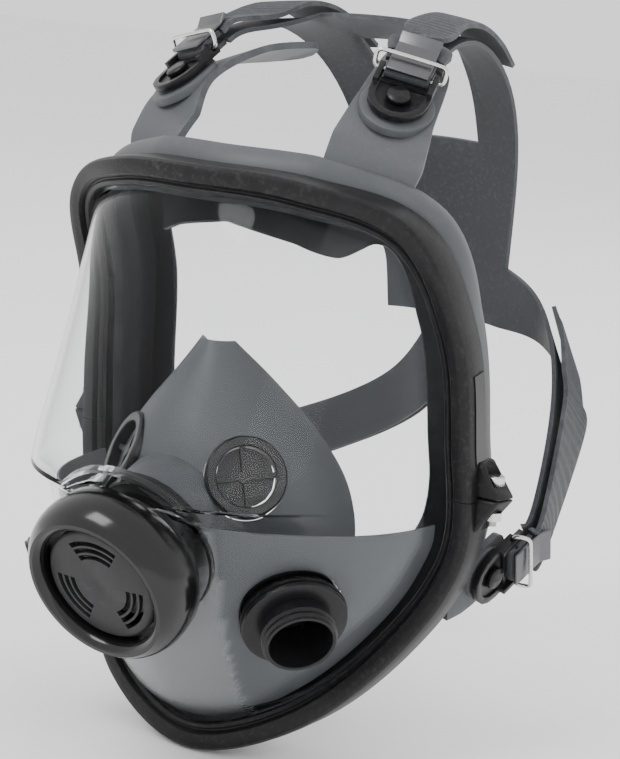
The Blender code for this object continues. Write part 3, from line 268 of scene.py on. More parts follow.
def makeLensMaterial():
    # clear lens, pebbled where the "frosted" attribute says so; its index is set below
    # that of a real lens, so the inside stays free of glare
    made, tree, shader = emptyMaterial("clearLens")
    shader.inputs["Base Color"].default_value = (0.97, 0.98, 0.985, 1)
    shader.inputs["Transmission Weight"].default_value = 1.0
    shader.inputs["IOR"].default_value = 1.16
    pebbledAndPaintedLight = tree.nodes.new("ShaderNodeAttribute")
    pebbledAndPaintedLight.attribute_name = "pebbledAndPaintedLight"
    grain = groupNode(tree, grainGroup, Scale=700.0, Mottle=40.0)
    rough = mathNode(tree, "MULTIPLY", pebbledAndPaintedLight.outputs["Fac"], 0.34)
    rough = mathNode(tree, "ADD", rough, mathNode(tree, "MULTIPLY", grain.outputs["Tone"], 0.02))
    tree.links.new(rough, shader.inputs["Roughness"])
    height = mathNode(tree, "MULTIPLY", grain.outputs["Height"], pebbledAndPaintedLight.outputs["Fac"])
    addBump(tree, shader, height, 0.55, 0.0006)
    return made


materials = {name: surfaceMaterial(name, look) for name, look in looks.items()}
materials["wire"] = makeWireMaterial("wire", (0.78, 0.77, 0.74), 0.16)
materials["leverMetal"] = makeWireMaterial("leverMetal", (0.16, 0.16, 0.17), 0.26)
materials["clearLens"] = makeLensMaterial()
slots = {name: look["slot"] for name, look in looks.items()}
slots.update(wire="steel", leverMetal="black_plastic", clearLens="clear")
print("materials made:", len(materials))


# Mesh helpers

def publish(bm, name, body, look, replaced=(), angle=35):
    # a finished piece at the origin, in metres, riding on its body
    bmesh.ops.transform(bm, matrix=Matrix.Scale(toMetres, 4), verts=bm.verts)
    mesh = bpy.data.meshes.new(name)
    bm.to_mesh(mesh)
    bm.free()
    mesh.materials.append(materials[look])
    mesh.shade_smooth()
    mesh.set_sharp_from_angle(angle=radians(angle))
    piece = bpy.data.objects.new(name, mesh)
    bpy.context.scene.collection.objects.link(piece)
    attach(piece, body)
    if replaced:
        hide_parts(*replaced)
    return piece


def tempObject(bm):
    mesh = bpy.data.meshes.new("temp")
    bm.to_mesh(mesh)
    bm.free()
    made = bpy.data.objects.new("temp", mesh)
    bpy.context.scene.collection.objects.link(made)
    return made


def evaluated(item):
    graph = bpy.context.evaluated_depsgraph_get()
    bm = bmesh.new()
    mesh = bpy.data.meshes.new_from_object(item.evaluated_get(graph))
    bm.from_mesh(mesh)
    bpy.data.meshes.remove(mesh)
    return bm


def combine(bm, other, operation, solver="EXACT"):
    item, cutter = tempObject(bm), tempObject(other)
    modifier = item.modifiers.new("cut", "BOOLEAN")
    modifier.operation = operation
    modifier.object = cutter
    modifier.solver = solver
    result = evaluated(item)
    bpy.data.objects.remove(item)
    bpy.data.objects.remove(cutter)
    return result


def spun(profile, place, steps=96):
    # turned about Z from (radius, height) pairs
    bm = bmesh.new()
    verts = [bm.verts.new((r, 0, h)) for r, h in profile]
    edges = [bm.edges.new(pair) for pair in zip(verts, verts[1:])]
    if not any(r == 0 for r, h in profile):
        edges.append(bm.edges.new((verts[-1], verts[0])))
    bmesh.ops.spin(bm, geom=verts + edges, cent=(0, 0, 0), axis=(0, 0, 1),
                   angle=2 * pi, steps=steps, use_merge=True)
    bmesh.ops.remove_doubles(bm, verts=bm.verts, dist=1e-4)
    bmesh.ops.recalc_face_normals(bm, faces=bm.faces)
    bmesh.ops.transform(bm, matrix=place, verts=bm.verts)
    return bm


def tube(inner, outer, low, high, place):
    return spun([(outer, high), (outer, low), (inner, low), (inner, high)], place)


def rod(radius, low, high, place, steps=96):
    return spun([(0, high), (radius, high), (radius, low), (0, low)], place, steps)


def slab(outline, low, high, place):
    bm = bmesh.new()
    base = bm.faces.new([bm.verts.new((x, y, low)) for x, y in outline])
    top = bmesh.ops.extrude_face_region(bm, geom=[base])
    moved = [v for v in top["geom"] if isinstance(v, bmesh.types.BMVert)]
    bmesh.ops.translate(bm, vec=(0, 0, high - low), verts=moved)
    bmesh.ops.recalc_face_normals(bm, faces=bm.faces)
    bmesh.ops.transform(bm, matrix=place, verts=bm.verts)
    return bm


def gridSheet(pointAt, columns, rows):
    # a flat grid bent so each vertex lies where pointAt(across, down) says, both 0 to 1
    bm = bmesh.new()
    bmesh.ops.create_grid(bm, x_segments=columns, y_segments=rows, size=0.5)
    for vert in bm.verts:
        vert.co = pointAt(vert.co.x + 0.5, 0.5 - vert.co.y)
    bmesh.ops.recalc_face_normals(bm, faces=bm.faces)
    return bm


def thickened(bm, thickness, offset=0.0, even=True):
    # closed wall either side of a sheet, or to one side with offset -1 or 1; even keeps the
    # wall's thickness at bends, but makes spikes where a sheet folds sharply
    item = tempObject(bm)
    modifier = item.modifiers.new("wall", "SOLIDIFY")
    modifier.thickness = thickness
    modifier.offset = offset
    modifier.use_even_offset = even
    result = evaluated(item)
    bpy.data.objects.remove(item)
    return result


def swept(sections, closed):
    bm = bmesh.new()
    rings = [[bm.verts.new(p) for p in section] for section in sections]
    count = len(rings)
    for index in range(count if closed else count - 1):
        near, far = rings[index], rings[(index + 1) % count]
        for side in range(len(near)):
            nxt = (side + 1) % len(near)
            bm.faces.new((near[side], near[nxt], far[nxt], far[side]))
    if not closed:
        bm.faces.new(rings[0])
        bm.faces.new(rings[-1])
    bmesh.ops.recalc_face_normals(bm, faces=bm.faces)
    return bm


def fromNode(name, crease=28.0, levels=2, bevel=0.0):
    # smooth copy of a CAD solid: quads, hard edges kept by creases
    bm = bmesh.new()
    bm.from_mesh(nodes[name].data)
    bmesh.ops.transform(bm, matrix=Matrix.Scale(1 / toMetres, 4), verts=bm.verts)
    bmesh.ops.remove_doubles(bm, verts=bm.verts, dist=2e-3)
    bmesh.ops.join_triangles(bm, faces=bm.faces, angle_face_threshold=radians(20),
                             angle_shape_threshold=radians(60))
    if bevel:
        hard = [e for e in bm.edges if e.calc_face_angle(0) > radians(crease)]
        bmesh.ops.bevel(bm, geom=hard, offset=bevel, affect="EDGES", segments=2, profile=0.5,
                        material=-1, clamp_overlap=True)
    if levels:
        layer = bm.edges.layers.float.new("crease_edge")
        for edge in bm.edges:
            edge[layer] = 1.0 if edge.calc_face_angle(0) > radians(crease) else 0.0
        item = tempObject(bm)
        modifier = item.modifiers.new("smooth", "SUBSURF")
        modifier.levels = modifier.render_levels = levels
        bm = evaluated(item)
        bpy.data.objects.remove(item)
    return bm


def axisPlace(joint, turn=1):
    # frame whose Z runs along a joint's axis and whose Y points up
    z = Vector(joints[joint]["axis"]).normalized() * turn
    x = Vector((0, 0, 1)).cross(z).normalized()
    place = Matrix((x, z.cross(x), z)).transposed().to_4x4()
    return Matrix.Translation(Vector(joints[joint]["pos_m"]) / toMetres) @ place


def bucklePlace(name):
    # X across the strap, Y along it, Z off the mask
    z = Vector(joints["swivel_" + name]["axis"]).normalized()
    x = Vector(joints["lever_lift_" + name]["axis"]).normalized()
    place = Matrix((x, z.cross(x), z)).transposed().to_4x4()
    return Matrix.Translation(Vector(joints["swivel_" + name]["pos_m"]) / toMetres) @ place


def catmull(points, place):
    last = len(points) - 1
    step = max(0, min(int(place), last - 1))
    part = place - step
    p1, p2 = points[step], points[step + 1]
    p0 = points[step - 1] if step > 0 else 2 * p1 - p2
    p3 = points[step + 2] if step + 2 <= last else 2 * p2 - p1
    return 0.5 * (2 * p1 + (p2 - p0) * part + (2 * p0 - 5 * p1 + 4 * p2 - p3) * part ** 2
                  + (3 * p1 - p0 - 3 * p2 + p3) * part ** 3)


valvePlace = axisPlace("cover_pull")
portPlaces = {side: axisPlace("inhale_open_" + side, -1) for side in sides}
checkPlaces = {side: axisPlace("check_open_" + side, -1) for side in sides}
buckleNames = ["upper_left", "upper_right", "lower_left", "lower_right"]
bucklePlaces = {name: bucklePlace(name) for name in buckleNames}


# The lens opening, the same line that the solids follow

opening = dict(halfWidth=86.0, brow=100.0, chin=122.0, chinFront=45.0)
rimShape = [(0.0, -69, 1.0), (0.47, -60, 0.98), (0.85, -37, 0.86), (0.96, -13, 0.49),
            (1.0, -5, 0.07), (1.0, 0, -0.315), (0.79, -13, -0.63), (0.47, -35, -0.875),
            (0.0, -opening["chinFront"], -1.0)]


def rimPoints():
    points = []
    for across, depth, height in rimShape:
        level = height * (opening["brow"] if height > 0 else opening["chin"])
        points.append(Vector((across * opening["halfWidth"], depth, level)))
    mirrored = [Vector((-p.x, p.y, p.z)) for p in points]
    return [mirrored[1]] + points + [mirrored[-2]]


rimLine = rimPoints()
rimLast = len(rimShape) - 1
rimTurn = 2 * rimLast


def fromBrow(place):
    # place along the rim, counted both ways from the middle of the brow
    return (place + rimLast) % rimTurn - rimLast


def rim(place):
    place = fromBrow(place)
    point = catmull(rimLine, abs(place) + 1)
    return point if place >= 0 else Vector((-point.x, point.y, point.z))


def rimFrame(place):
    along = (rim(place + 0.02) - rim(place - 0.02)).normalized()
    forward = Vector((0, -1, 0))
    forward = (forward - forward.dot(along) * along).normalized()
    outward = along.cross(forward).normalized()
    point = rim(place)
    if outward.dot(point - Vector((0, point.y, -10))) < 0:
        outward = -outward
    return point, outward, forward


def rimSamples(count):
    return [rimFrame(i * rimTurn / count)[:2] for i in range(count)]


def rimSection(place, profile):
    point, outward, forward = rimFrame(place)
    return [point + outward * o + forward * f for o, f in profile]


# Lens

lens = dict(depth=120.0, ledge=17.0, wall=2.0, flange=8.6, bossDepth=9.5, portBoss=5.5,
            bossBore=25.3, bossInner=25.0, bossOuter=31.5, portBore=15.8, portOuter=20.4,
            pocket=37.6, pocketReach=34.5, pocketGap=0.4,
            columns=84, bubbleRows=44, ledgeRows=4, lowerRows=40)
pebbled = dict(top=-26, left=-30, right=27, slope=0.08, foot=-110)
lining = dict(columns=72, rows=48, spread=0.965, depth=2.9, wall=1.0, valveHole=32.0,
              portHole=20.9)
lensRows = [(1.35, 0.575, 0.99, 48), (2.0, 0.625, 0.87, 68), (2.6, 0.70, 0.68, 80),
            (3.2, 0.80, 0.42, 85), (3.8, 0.895, 0.15, 88), (4.25, 0.97, -0.03, 90),
            (4.5, 1.0, -0.11, 90)]
lowerRows = [(4.75, 0.0, -0.185, 90), (5.0, 0.10, -0.30, 90), (5.5, 0.25, -0.46, 88),
             (6.0, 0.43, -0.64, 82), (6.5, 0.60, -0.79, 70), (7.0, 0.80, -0.92, 56),
             (7.4, 0.93, -0.98, 40)]


def rowPoint(place, middle, reach, share):
    side = rim(place)
    turn = radians(reach)
    depth = (side.y - middle.y) / (1 - cos(turn))
    angle = share * turn
    across = side.x * sin(angle) / sin(turn)
    level = middle.z + (side.z - middle.z) * (sin(angle) / sin(turn)) ** 2
    return Vector((across, middle.y + depth * (1 - cos(angle)), level))


def lensColumns(share):
    # key points down one column: the bubble, then the part below the ledge
    bubble = [rim(lensRows[0][0] * share)]
    for place, depth, height, reach in lensRows[1:]:
        level = height * (opening["brow"] if height > 0 else opening["chin"])
        bubble.append(rowPoint(place, Vector((0, -depth * lens["depth"], level)), reach, share))
    front = lens["depth"] - lens["ledge"]
    lower = []
    for place, part, height, reach in lowerRows[:-1]:
        depth = front + (opening["chinFront"] + 2 - front) * part
        middle = Vector((0, -depth, height * opening["chin"]))
        lower.append(rowPoint(place, middle, reach, share))
    edge = rimLast - (rimLast - lowerRows[-1][0]) * abs(share)
    lower.append(rim(edge if share >= 0 else -edge))
    return bubble, lower


columnCache = {}


def lensPoint(across, down):
    share = round(across * 2 - 1, 5)
    if share not in columnCache:
        columnCache[share] = lensColumns(share)
    bubble, lower = columnCache[share]
    total = lens["bubbleRows"] + lens["ledgeRows"] + lens["lowerRows"]
    row = down * total
    if row <= lens["bubbleRows"]:
        return catmull(bubble, row / lens["bubbleRows"] * (len(bubble) - 1))
    row -= lens["bubbleRows"]
    if row <= lens["ledgeRows"]:
        return bubble[-1].lerp(lower[0], row / lens["ledgeRows"])
    row -= lens["ledgeRows"]
    return catmull(lower, row / lens["lowerRows"] * (len(lower) - 1))


def faceForward(bm):
    bm.normal_update()
    if sum(face.normal.y for face in bm.faces) > 0:
        bmesh.ops.reverse_faces(bm, faces=bm.faces)


def lensSurface():
    rows = lens["bubbleRows"] + lens["ledgeRows"] + lens["lowerRows"]
    bm = gridSheet(lensPoint, lens["columns"], rows)
    faceForward(bm)
    return bm


def nearestSample(point, samples):
    return min(samples, key=lambda sample: (sample[0] - point).length_squared)


def makeLens():
    bm = lensSurface()
    samples = rimSamples(360)
    border = [edge for edge in bm.edges if edge.is_boundary]
    grown = bmesh.ops.extrude_edge_only(bm, edges=border)["geom"]
    for vert in [v for v in grown if isinstance(v, bmesh.types.BMVert)]:
        vert.co += nearestSample(vert.co, samples)[1] * lens["flange"]
    bm = thickened(bm, lens["wall"], -1)
    bm = cutPocket(bm)
    boss = tube(lens["bossInner"], lens["bossOuter"], -lens["bossDepth"], 0.8, valvePlace)
    bm = combine(bm, boss, "UNION", "MANIFOLD")
    hole = rod(lens["bossBore"], -lens["bossDepth"] - 8, 12, valvePlace)
    bm = combine(bm, hole, "DIFFERENCE", "MANIFOLD")
    for place in portPlaces.values():
        boss = tube(lens["portBore"], lens["portOuter"], -lens["portBoss"], 0.6, place)
        bm = combine(bm, boss, "UNION", "MANIFOLD")
        hole = rod(lens["portBore"], -lens["portBoss"] - 5, 8, place)
        bm = combine(bm, hole, "DIFFERENCE", "MANIFOLD")
    piece = publish(bm, "lensShell", "mask", "clearLens", ["lens"], 30)
    return markPebbledAndPaintedLight(piece)


def markPebbledAndPaintedLight(piece):
    # pebbled chin panel between the ports: on the lens it sets roughness and bump, on the lining it
    # places painted light
    mask = piece.data.attributes.new("pebbledAndPaintedLight", "FLOAT", "POINT")
    for index, vert in enumerate(piece.data.vertices):
        spot = vert.co / toMetres
        right = pebbled["right"] + (spot.z - pebbled["foot"]) * pebbled["slope"]
        inside = spot.z < pebbled["top"] and pebbled["left"] < spot.x < right
        mask.data[index].value = 1.0 if inside else 0.0
    return piece


def cutPocket(bm):
    # round pocket where the bubble hangs over the cover ring
    inside = lensSurface()
    border = [edge for edge in inside.edges if edge.is_boundary]
    fan = bmesh.ops.extrude_edge_only(inside, edges=border)["geom"]
    centre = Vector((0, -20, -10))
    for vert in [v for v in fan if isinstance(v, bmesh.types.BMVert)]:
        vert.co = centre
    bmesh.ops.remove_doubles(inside, verts=inside.verts, dist=1e-3)
    bmesh.ops.recalc_face_normals(inside, faces=inside.faces)
    radius, reach = lens["pocket"], lens["pocketReach"]
    wall = spun([(0, 0), (radius, 0), (radius, reach), (radius + lens["wall"], reach),
                 (radius + lens["wall"], -lens["wall"]), (0, -lens["wall"])], valvePlace)
    pocket = combine(wall, inside, "INTERSECT", "MANIFOLD")
    hole = rod(radius + lens["pocketGap"], -0.6, reach + 10, valvePlace)
    bm = combine(bm, hole, "DIFFERENCE", "MANIFOLD")
    return combine(bm, pocket, "UNION", "MANIFOLD")


def makeLining():
    # satin grey lining close behind the lens below the ledge
    def pointAt(across, down):
        share = (across * 2 - 1) * lining["spread"]
        lower = lensColumns(share)[1]
        place = 0.05 + down * (len(lower) - 1.12)
        return catmull(lower, place)

    bm = gridSheet(pointAt, lining["columns"], lining["rows"])
    faceForward(bm)
    bm.normal_update()
    for vert in bm.verts:
        vert.co -= vert.normal * lining["depth"]
    bm = thickened(bm, lining["wall"], -1)
    hole = rod(lining["valveHole"], -25, 12, valvePlace)
    bm = combine(bm, hole, "DIFFERENCE", "MANIFOLD")
    for place in portPlaces.values():
        hole = rod(lining["portHole"], -16, 8, place)
        bm = combine(bm, hole, "DIFFERENCE", "MANIFOLD")
    # the pebbled-panel mark paints the lining paler behind that panel: painted light
    return markPebbledAndPaintedLight(publish(bm, "chinLining", "mask", "liningRubber", (), 35))


makeLens()
makeLining()
print("lens made")


# Clamp frame

clamp = dict(split=4.5, wall=3.0, depth=15.0, lug=12.0, steps=200, overrun=0.3, parting=0.15,
             screwBore=2.3, headBore=4.6, headDepth=5.4)
lip = 9.3


def frameProfile():
    back = -clamp["depth"]
    return [(0.4, 0.4), (0.7, 2.6), (1.1, 3.1), (2.4, 3.5), (2.9, 3.2), (3.3, 2.6), (3.8, 2.7),
            (4.5, 4.2), (5.2, 4.9), (lip - 1.5, 5.2), (lip + 0.6, 5.15), (lip + 1.8, 4.7),
            (lip + 2.7, 3.6), (lip + 3.0, 2.4), (lip + 3.35, -1.0), (lip + 3.4, back + 4.8),
            (lip + 3.1, back + 4.2), (lip + 2.4, back + 4), (lip - 1.6, back + 4),
            (lip - 2.0, back + 4.4), (lip - 2.0, back + 6), (lip + 0.3, back + 6),
            (lip + 0.3, 0.4)]


def lugShape(side, direction):
    point, outward, forward = rimFrame(clamp["split"])
    centre = point + outward * (lip + clamp["wall"] + clamp["lug"] * 0.42) - forward * 7
    inner = centre.x - (clamp["lug"] * 0.42 + 2)
    outer = centre.x + clamp["lug"] * 0.58
    bm = bmesh.new()
    bmesh.ops.create_cube(bm, size=1.0)
    for vert in bm.verts:
        far = vert.co.z * direction > 0
        reach = inner + (outer - inner) * (0.2 if far else (0.84 if vert.co.y < 0 else 1.0))
        x = inner if vert.co.x < 0 else reach
        z = centre.z + direction * (15.0 if far else clamp["parting"])
        vert.co = Vector((side * x, centre.y + (6.0 if vert.co.y > 0 else -6.0), z))
    bmesh.ops.recalc_face_normals(bm, faces=bm.faces)
    bmesh.ops.bevel(bm, geom=bm.edges, offset=1.6, affect="EDGES", segments=3, profile=0.5,
                    material=-1, clamp_overlap=True)
    return bm, Vector((side * centre.x, centre.y, centre.z))


def makeFrameHalf(name, direction):
    steps = clamp["steps"]
    end = clamp["split"] + direction * clamp["overrun"]
    if direction > 0:
        places = [-end + 2 * end * i / steps for i in range(steps + 1)]
    else:
        places = [end + (rimTurn - 2 * end) * i / steps for i in range(steps + 1)]
    bm = swept([rimSection(place, frameProfile()) for place in places], False)
    level = rimFrame(clamp["split"])[0].z + direction * clamp["parting"]
    geometry = bm.verts[:] + bm.edges[:] + bm.faces[:]
    cut = bmesh.ops.bisect_plane(bm, geom=geometry, plane_co=(0, 0, level),
                                 plane_no=(0, 0, -direction), clear_outer=True)
    edges = [e for e in cut["geom_cut"] if isinstance(e, bmesh.types.BMEdge)]
    bmesh.ops.holes_fill(bm, edges=edges)
    bmesh.ops.recalc_face_normals(bm, faces=bm.faces)
    for side in sides.values():
        lug, centre = lugShape(side, direction)
        bm = combine(bm, lug, "UNION")
        base = Matrix.Translation(centre)
        low, high = sorted((clamp["headDepth"] * direction, 40 * direction))
        bm = combine(bm, rod(clamp["headBore"], low, high, base, 40), "DIFFERENCE")
        bm = combine(bm, rod(clamp["screwBore"], -30, 30, base, 32), "DIFFERENCE")
    node = "frame_" + name[len("clamp"):].lower()
    return publish(bm, name, "mask", "frameRubber", [node], 30)


makeFrameHalf("clampUpper", 1)
makeFrameHalf("clampLower", -1)
print("clamp frame made")


# Facepiece

face = dict(sealSide=21.0, skirt=30.0, wall=3.0, tongueWall=3.0, flare=11.0, flareFull=1.0,
            flareEnd=3.4)


def sealReach(place):
    share = abs(fromBrow(place)) / rimLast
    if share < 0.2:
        return 12 + (face["sealSide"] - 12) * share / 0.2
    if share < 0.56:
        return face["sealSide"]
    return face["sealSide"] + 14 * (share - 0.56) / 0.44


def foreheadFlare(place):
    # the skirt stands out behind the frame over the brow and fades at the cheeks
    share = abs(fromBrow(place))
    fade = min(max((share - face["flareFull"]) / (face["flareEnd"] - face["flareFull"]), 0), 1)
    return face["flare"] * (1 - fade * fade * (3 - 2 * fade))


def faceProfile(place):
    edge = lip - 0.4
    flare = foreheadFlare(place)
    reach = sealReach(place)
    back = -2.3 - face["skirt"]
    front = -2.3
    bead = -clamp["depth"]
    return [(-2.0, front), (edge - 0.2, front), (edge - 0.2, bead + 6.4), (edge - 2.6, bead + 6.4),
            (edge - 2.6, bead + 3.6), (edge - 2.0, bead + 2.4),
            (edge - 0.4 + flare * 0.3, bead + 1.6), (edge + flare * 0.55, bead + 0.2),
            (edge - 0.4 + flare * 0.85, bead - 2.2),
            (edge - 0.6 + flare, bead - 4.6), (edge - 1.0 + flare * 1.02, bead - 7.0),
            (edge - 2.0 + flare, back + 7), (edge - 3.6 + flare * 0.88, back + 3.4),
            (edge - 5.2 + flare * 0.7, back + 1.2), (edge - 7.4 + flare * 0.45, back),
            (edge - 10.8 + flare * 0.2, back), (edge - 14.0, back + 1), (-reach + 1.0, back + 8.6),
            (-reach, back + 9.2), (-reach, back + 10.2), (-reach + 0.8, back + 10.6),
            (edge - 14.0, back + 1 + face["wall"]),
            (edge - 9.0 + flare * 0.4, back + 2 + face["wall"]),
            (edge - 6.8 + flare * 0.7, back + 6.0), (edge - 5.6 + flare * 0.9, back + 9),
            (edge - 5.0 + flare * 0.8, bead - 4), (edge - 6.5, bead + 3), (-2.0, bead + 6)]


def tongueLines(kind, side):
    if kind == "upper":
        rows = [((50, -31, 103.5), 36), ((51.5, -21, 121), 40), ((51, -8, 137.4), 34),
                ((43, 18, 149.5), 31), ((32, 42, 153), 28), ((28, 50, 152.6), 16)]
        root, across = Vector((0.8, 0.42, -0.42)), Vector((0.93, 0.2, -0.3))
    else:
        rows = [((83.5, 14, -60), 28), ((87.5, 21, -58), 28), ((90, 30, -53), 27),
                ((91.5, 40, -47.5), 24), ((92, 45, -44.8), 14)]
        root, across = Vector((0.1, -0.2, 0.97)), Vector((0.15, -0.5, 0.85))
    lines = []
    for index, ((x, y, z), width) in enumerate(rows):
        turn = root if index == 0 else across
        lines.append((Vector((side * x, y, z)), width,
                      Vector((side * turn.x, turn.y, turn.z)).normalized()))
    return lines


def tongueSheet(kind, side):
    lines = tongueLines(kind, side)
    last = len(lines) - 1

    def pointAt(share, down):
        place = down * last
        middle = catmull([line[0] for line in lines], place)
        low = min(int(place), last - 1)
        part = place - low
        width = lines[low][1] + (lines[low + 1][1] - lines[low][1]) * part
        if down > 0.86:
            width *= (1 - ((down - 0.86) / 0.15) ** 2) ** 0.5
        across = lines[low][2].lerp(lines[low + 1][2], part).normalized()
        return middle + across * width * (share - 0.5)

    return thickened(gridSheet(pointAt, 16, 48), face["tongueWall"])


def makeFacepiece():
    steps = 220
    places = [rimTurn * i / steps for i in range(steps)]
    bm = swept([rimSection(place, faceProfile(place)) for place in places], True)
    for name, place in bucklePlaces.items():
        kind, side = name.split("_")
        bm = combine(bm, tongueSheet(kind, sides[side]), "UNION")
        radius = 15.5 if kind == "upper" else 12.0
        pad = spun([(0, 1.6), (radius - 1.0, 1.6), (radius - 0.3, 1.3), (radius, 0.6),
                    (radius, -2.0), (0, -2.0)], place, 72)
        bm = combine(bm, pad, "UNION")
    piece = publish(bm, "faceSeal", "mask", "sealRubber", ["facepiece"], 32)
    samples = rimSamples(200)
    # painted shade: inner is 1 where the seal turns in towards the face and fades out 3.5 mm
    # outward from the rim line, darkening that inside
    shade = piece.data.attributes.new("inner", "FLOAT", "POINT")
    for index, vert in enumerate(piece.data.vertices):
        spot = vert.co / toMetres
        point, outward = nearestSample(spot, samples)
        reach = (spot - point).dot(outward)
        shade.data[index].value = min(max((3.5 - reach) / 4.0, 0.0), 1.0)
    return piece


def makeForeheadPanels():
    # two blank raised panels on the slope behind the frame
    low, high = Vector((lip + 0.2, -14.4, 0)), Vector((lip + 7.2, -18.6, 0))
    for name, side in sides.items():
        def pointAt(share, down):
            place = side * (0.06 + 0.62 * share + 0.05 * (1 - down))
            point, outward, forward = rimFrame(place)
            spot = high.lerp(low, down)
            return point + outward * spot.x + forward * (spot.y + 0.35)

        bm = thickened(gridSheet(pointAt, 40, 6), 0.9)
        publish(bm, "foreheadPanel" + name.title(), "mask", "maskRubber", (), 30)


def makeLabel():
    # blank label on the outside of the clamp frame, wearer's left
    def pointAt(share, down):
        point, outward, forward = rimFrame(3.35 + 0.85 * down)
        return point + outward * (lip + 3.62) + forward * (-9.4 + 8.2 * share)

    bm = thickened(gridSheet(pointAt, 4, 40), 0.35)
    publish(bm, "frameLabel", "mask", "labelBlack", (), 30)


makeFacepiece()
makeForeheadPanels()
makeLabel()
print("facepiece made")


# Nose cup and check valves

cup = dict(wall=2.4, collar=25.8, bore=23.8, checkBore=16.7, columns=48, rows=56)
check = dict(inner=12.2, outer=16.4, depth=2.5, hub=2.9, arms=4, armHalf=1.1, turn=0.12)
cupRows = [(7, -46, 40, -52, 60), (22, -36, 24, -61, 75), (38, -28, 6, -71, 82),
           (51, -23, -14, -77, 86), (56, -22, -36, -76, 86), (53, -25, -58, -69, 84),
           (43, -31, -78, -60, 78), (26, -38, -92, -51, 66)]


def cupPoint(across, down):
    values = catmull([Vector(row) for row in cupRows], down * (len(cupRows) - 1))
    sideX, sideY, level, middleY, reach = values
    turn = radians(reach)
    depth = (sideY - middleY) / (1 - cos(turn))
    angle = (across * 2 - 1) * turn
    return Vector((sideX * sin(angle) / sin(turn), middleY + depth * (1 - cos(angle)), level))


def makeNoseCup():
    bm = thickened(gridSheet(cupPoint, cup["columns"], cup["rows"]), cup["wall"])
    bm = combine(bm, rod(cup["collar"], -34, -13.5, valvePlace), "UNION", "MANIFOLD")
    bm = combine(bm, rod(cup["bore"], -60, -10, valvePlace), "DIFFERENCE", "MANIFOLD")
    for place in checkPlaces.values():
        bm = combine(bm, rod(cup["checkBore"], -9, 6, place), "DIFFERENCE", "MANIFOLD")
    return publish(bm, "noseCup", "mask", "maskRubber", ["nose_cup"], 40)


def spokes(bm, place, count, turn, outline, low, high):
    # arms round the middle of a valve seat
    for index in range(count):
        turned = place @ Matrix.Rotation(2 * pi * index / count + turn, 4, "Z")
        bm = combine(bm, slab(outline, low, high, turned), "UNION")
    return bm


def armOutline(start, end, half):
    return [(start, -half), (end, -half), (end, half), (start, half)]


def makeCheckSeat(side, place):
    inner, outer, depth = check["inner"], check["outer"], check["depth"]
    bm = spun([(inner, depth), (12.6, 2.9), (15.6, 2.9), (outer, 2.2), (outer, -depth),
               (inner, -depth)], place)
    bm = combine(bm, rod(check["hub"], -1.3, 0.4, place, 32), "UNION")
    outline = armOutline(1.5, 13.0, check["armHalf"])
    bm = spokes(bm, place, check["arms"], check["turn"], outline, -1.2, 0.3)
    publish(bm, "checkSeat" + side.title(), "mask", "mouldedBlack", ["check_seat_" + side], 30)


makeNoseCup()
for side, place in checkPlaces.items():
    makeCheckSeat(side, place)
print("nose cup made")


# Speech and exhalation unit

cover = dict(top=22.5, radius=36.0, mouth=26.3, grille=24.5)


def makeHousing():
    bm = spun([(20.5, 12), (20.9, 12.3), (23.1, 12.3), (23.5, 12), (23.5, 4.4), (32.1, 4.4),
               (32.5, 4.0), (32.5, 2.6), (32.3, 2.4), (23.5, 2.4), (23.5, -21.5), (20.5, -21.5)],
              valvePlace)
    return publish(bm, "valveHousing", "mask", "mouldedBlack", ["front_housing"], 30)


def makeCoverRing():
    top, r, mouth = cover["top"], cover["radius"], cover["mouth"]
    profile = [(mouth, top - 4.6), (mouth, top + 0.5), (mouth + 0.4, top + 2.2),
               (mouth + 1.4, top + 3.6), (mouth + 2.8, top + 4.4), (mouth + 4.4, top + 4.3),
               (r - 4.0, top + 3.0),
               (r - 2.3, top + 0.9), (r - 1.1, top - 1.6), (r - 0.3, top - 4.6), (r, top - 7.6),
               (r - 0.1, top - 10.4), (r - 0.5, top - 13.2), (r - 1.2, 5.6), (r - 1.6, 4.9),
               (r - 3.6, 4.9), (r - 2.9, top - 9.0), (r - 5.4, top - 3.4), (mouth + 2.4, top - 3.4),
               (mouth + 2.4, top - 6.2), (27.1, top - 6.2), (27.1, 7.5), (23.8, 7.5), (23.8, 9.8),
               (25.1, 10.8), (25.1, top - 8.4), (mouth - 3.0, top - 8.4), (mouth - 3.0, top - 4.6)]
    return publish(spun(profile, valvePlace, 128), "coverRing", "cover", "glossBlack",
                   ["cover_ring"], 32)


def arcBand(inner, outer, middle, half):
    steps = 14
    turns = [middle - half + 2 * half * i / steps for i in range(steps + 1)]
    band = [(outer * cos(t), outer * sin(t)) for t in turns]
    return band + [(inner * cos(t), inner * sin(t)) for t in reversed(turns)]


def makeGrille():
    top, radius = cover["top"], cover["grille"]
    slot, pitch, half = 2.1, 3.1, radians(33)
    bm = spun([(0, top - 0.4), (2.0, top - 0.3), (3.2, top), (radius - 1.4, top),
               (radius - 0.7, top - 0.3), (radius, top - 1.0), (radius, top - 4.2),
               (radius - 2.6, top - 4.2),
               (radius - 2.6, top - 2.2), (0, top - 2.2)], valvePlace)
    for window in range(3):
        middle = radians(90 + 120 * window)
        for rib in range(3):
            inner = radius * 0.50 + rib * pitch
            band = arcBand(inner, inner + slot, middle, half)
            bm = combine(bm, slab(band, top - 6, top + 2, valvePlace), "DIFFERENCE")
    return publish(bm, "speechGrille", "grille", "grilleGrey", ["speech_grille"], 30)


makeHousing()
makeCoverRing()
makeGrille()
print("front unit made")


# Cartridge ports

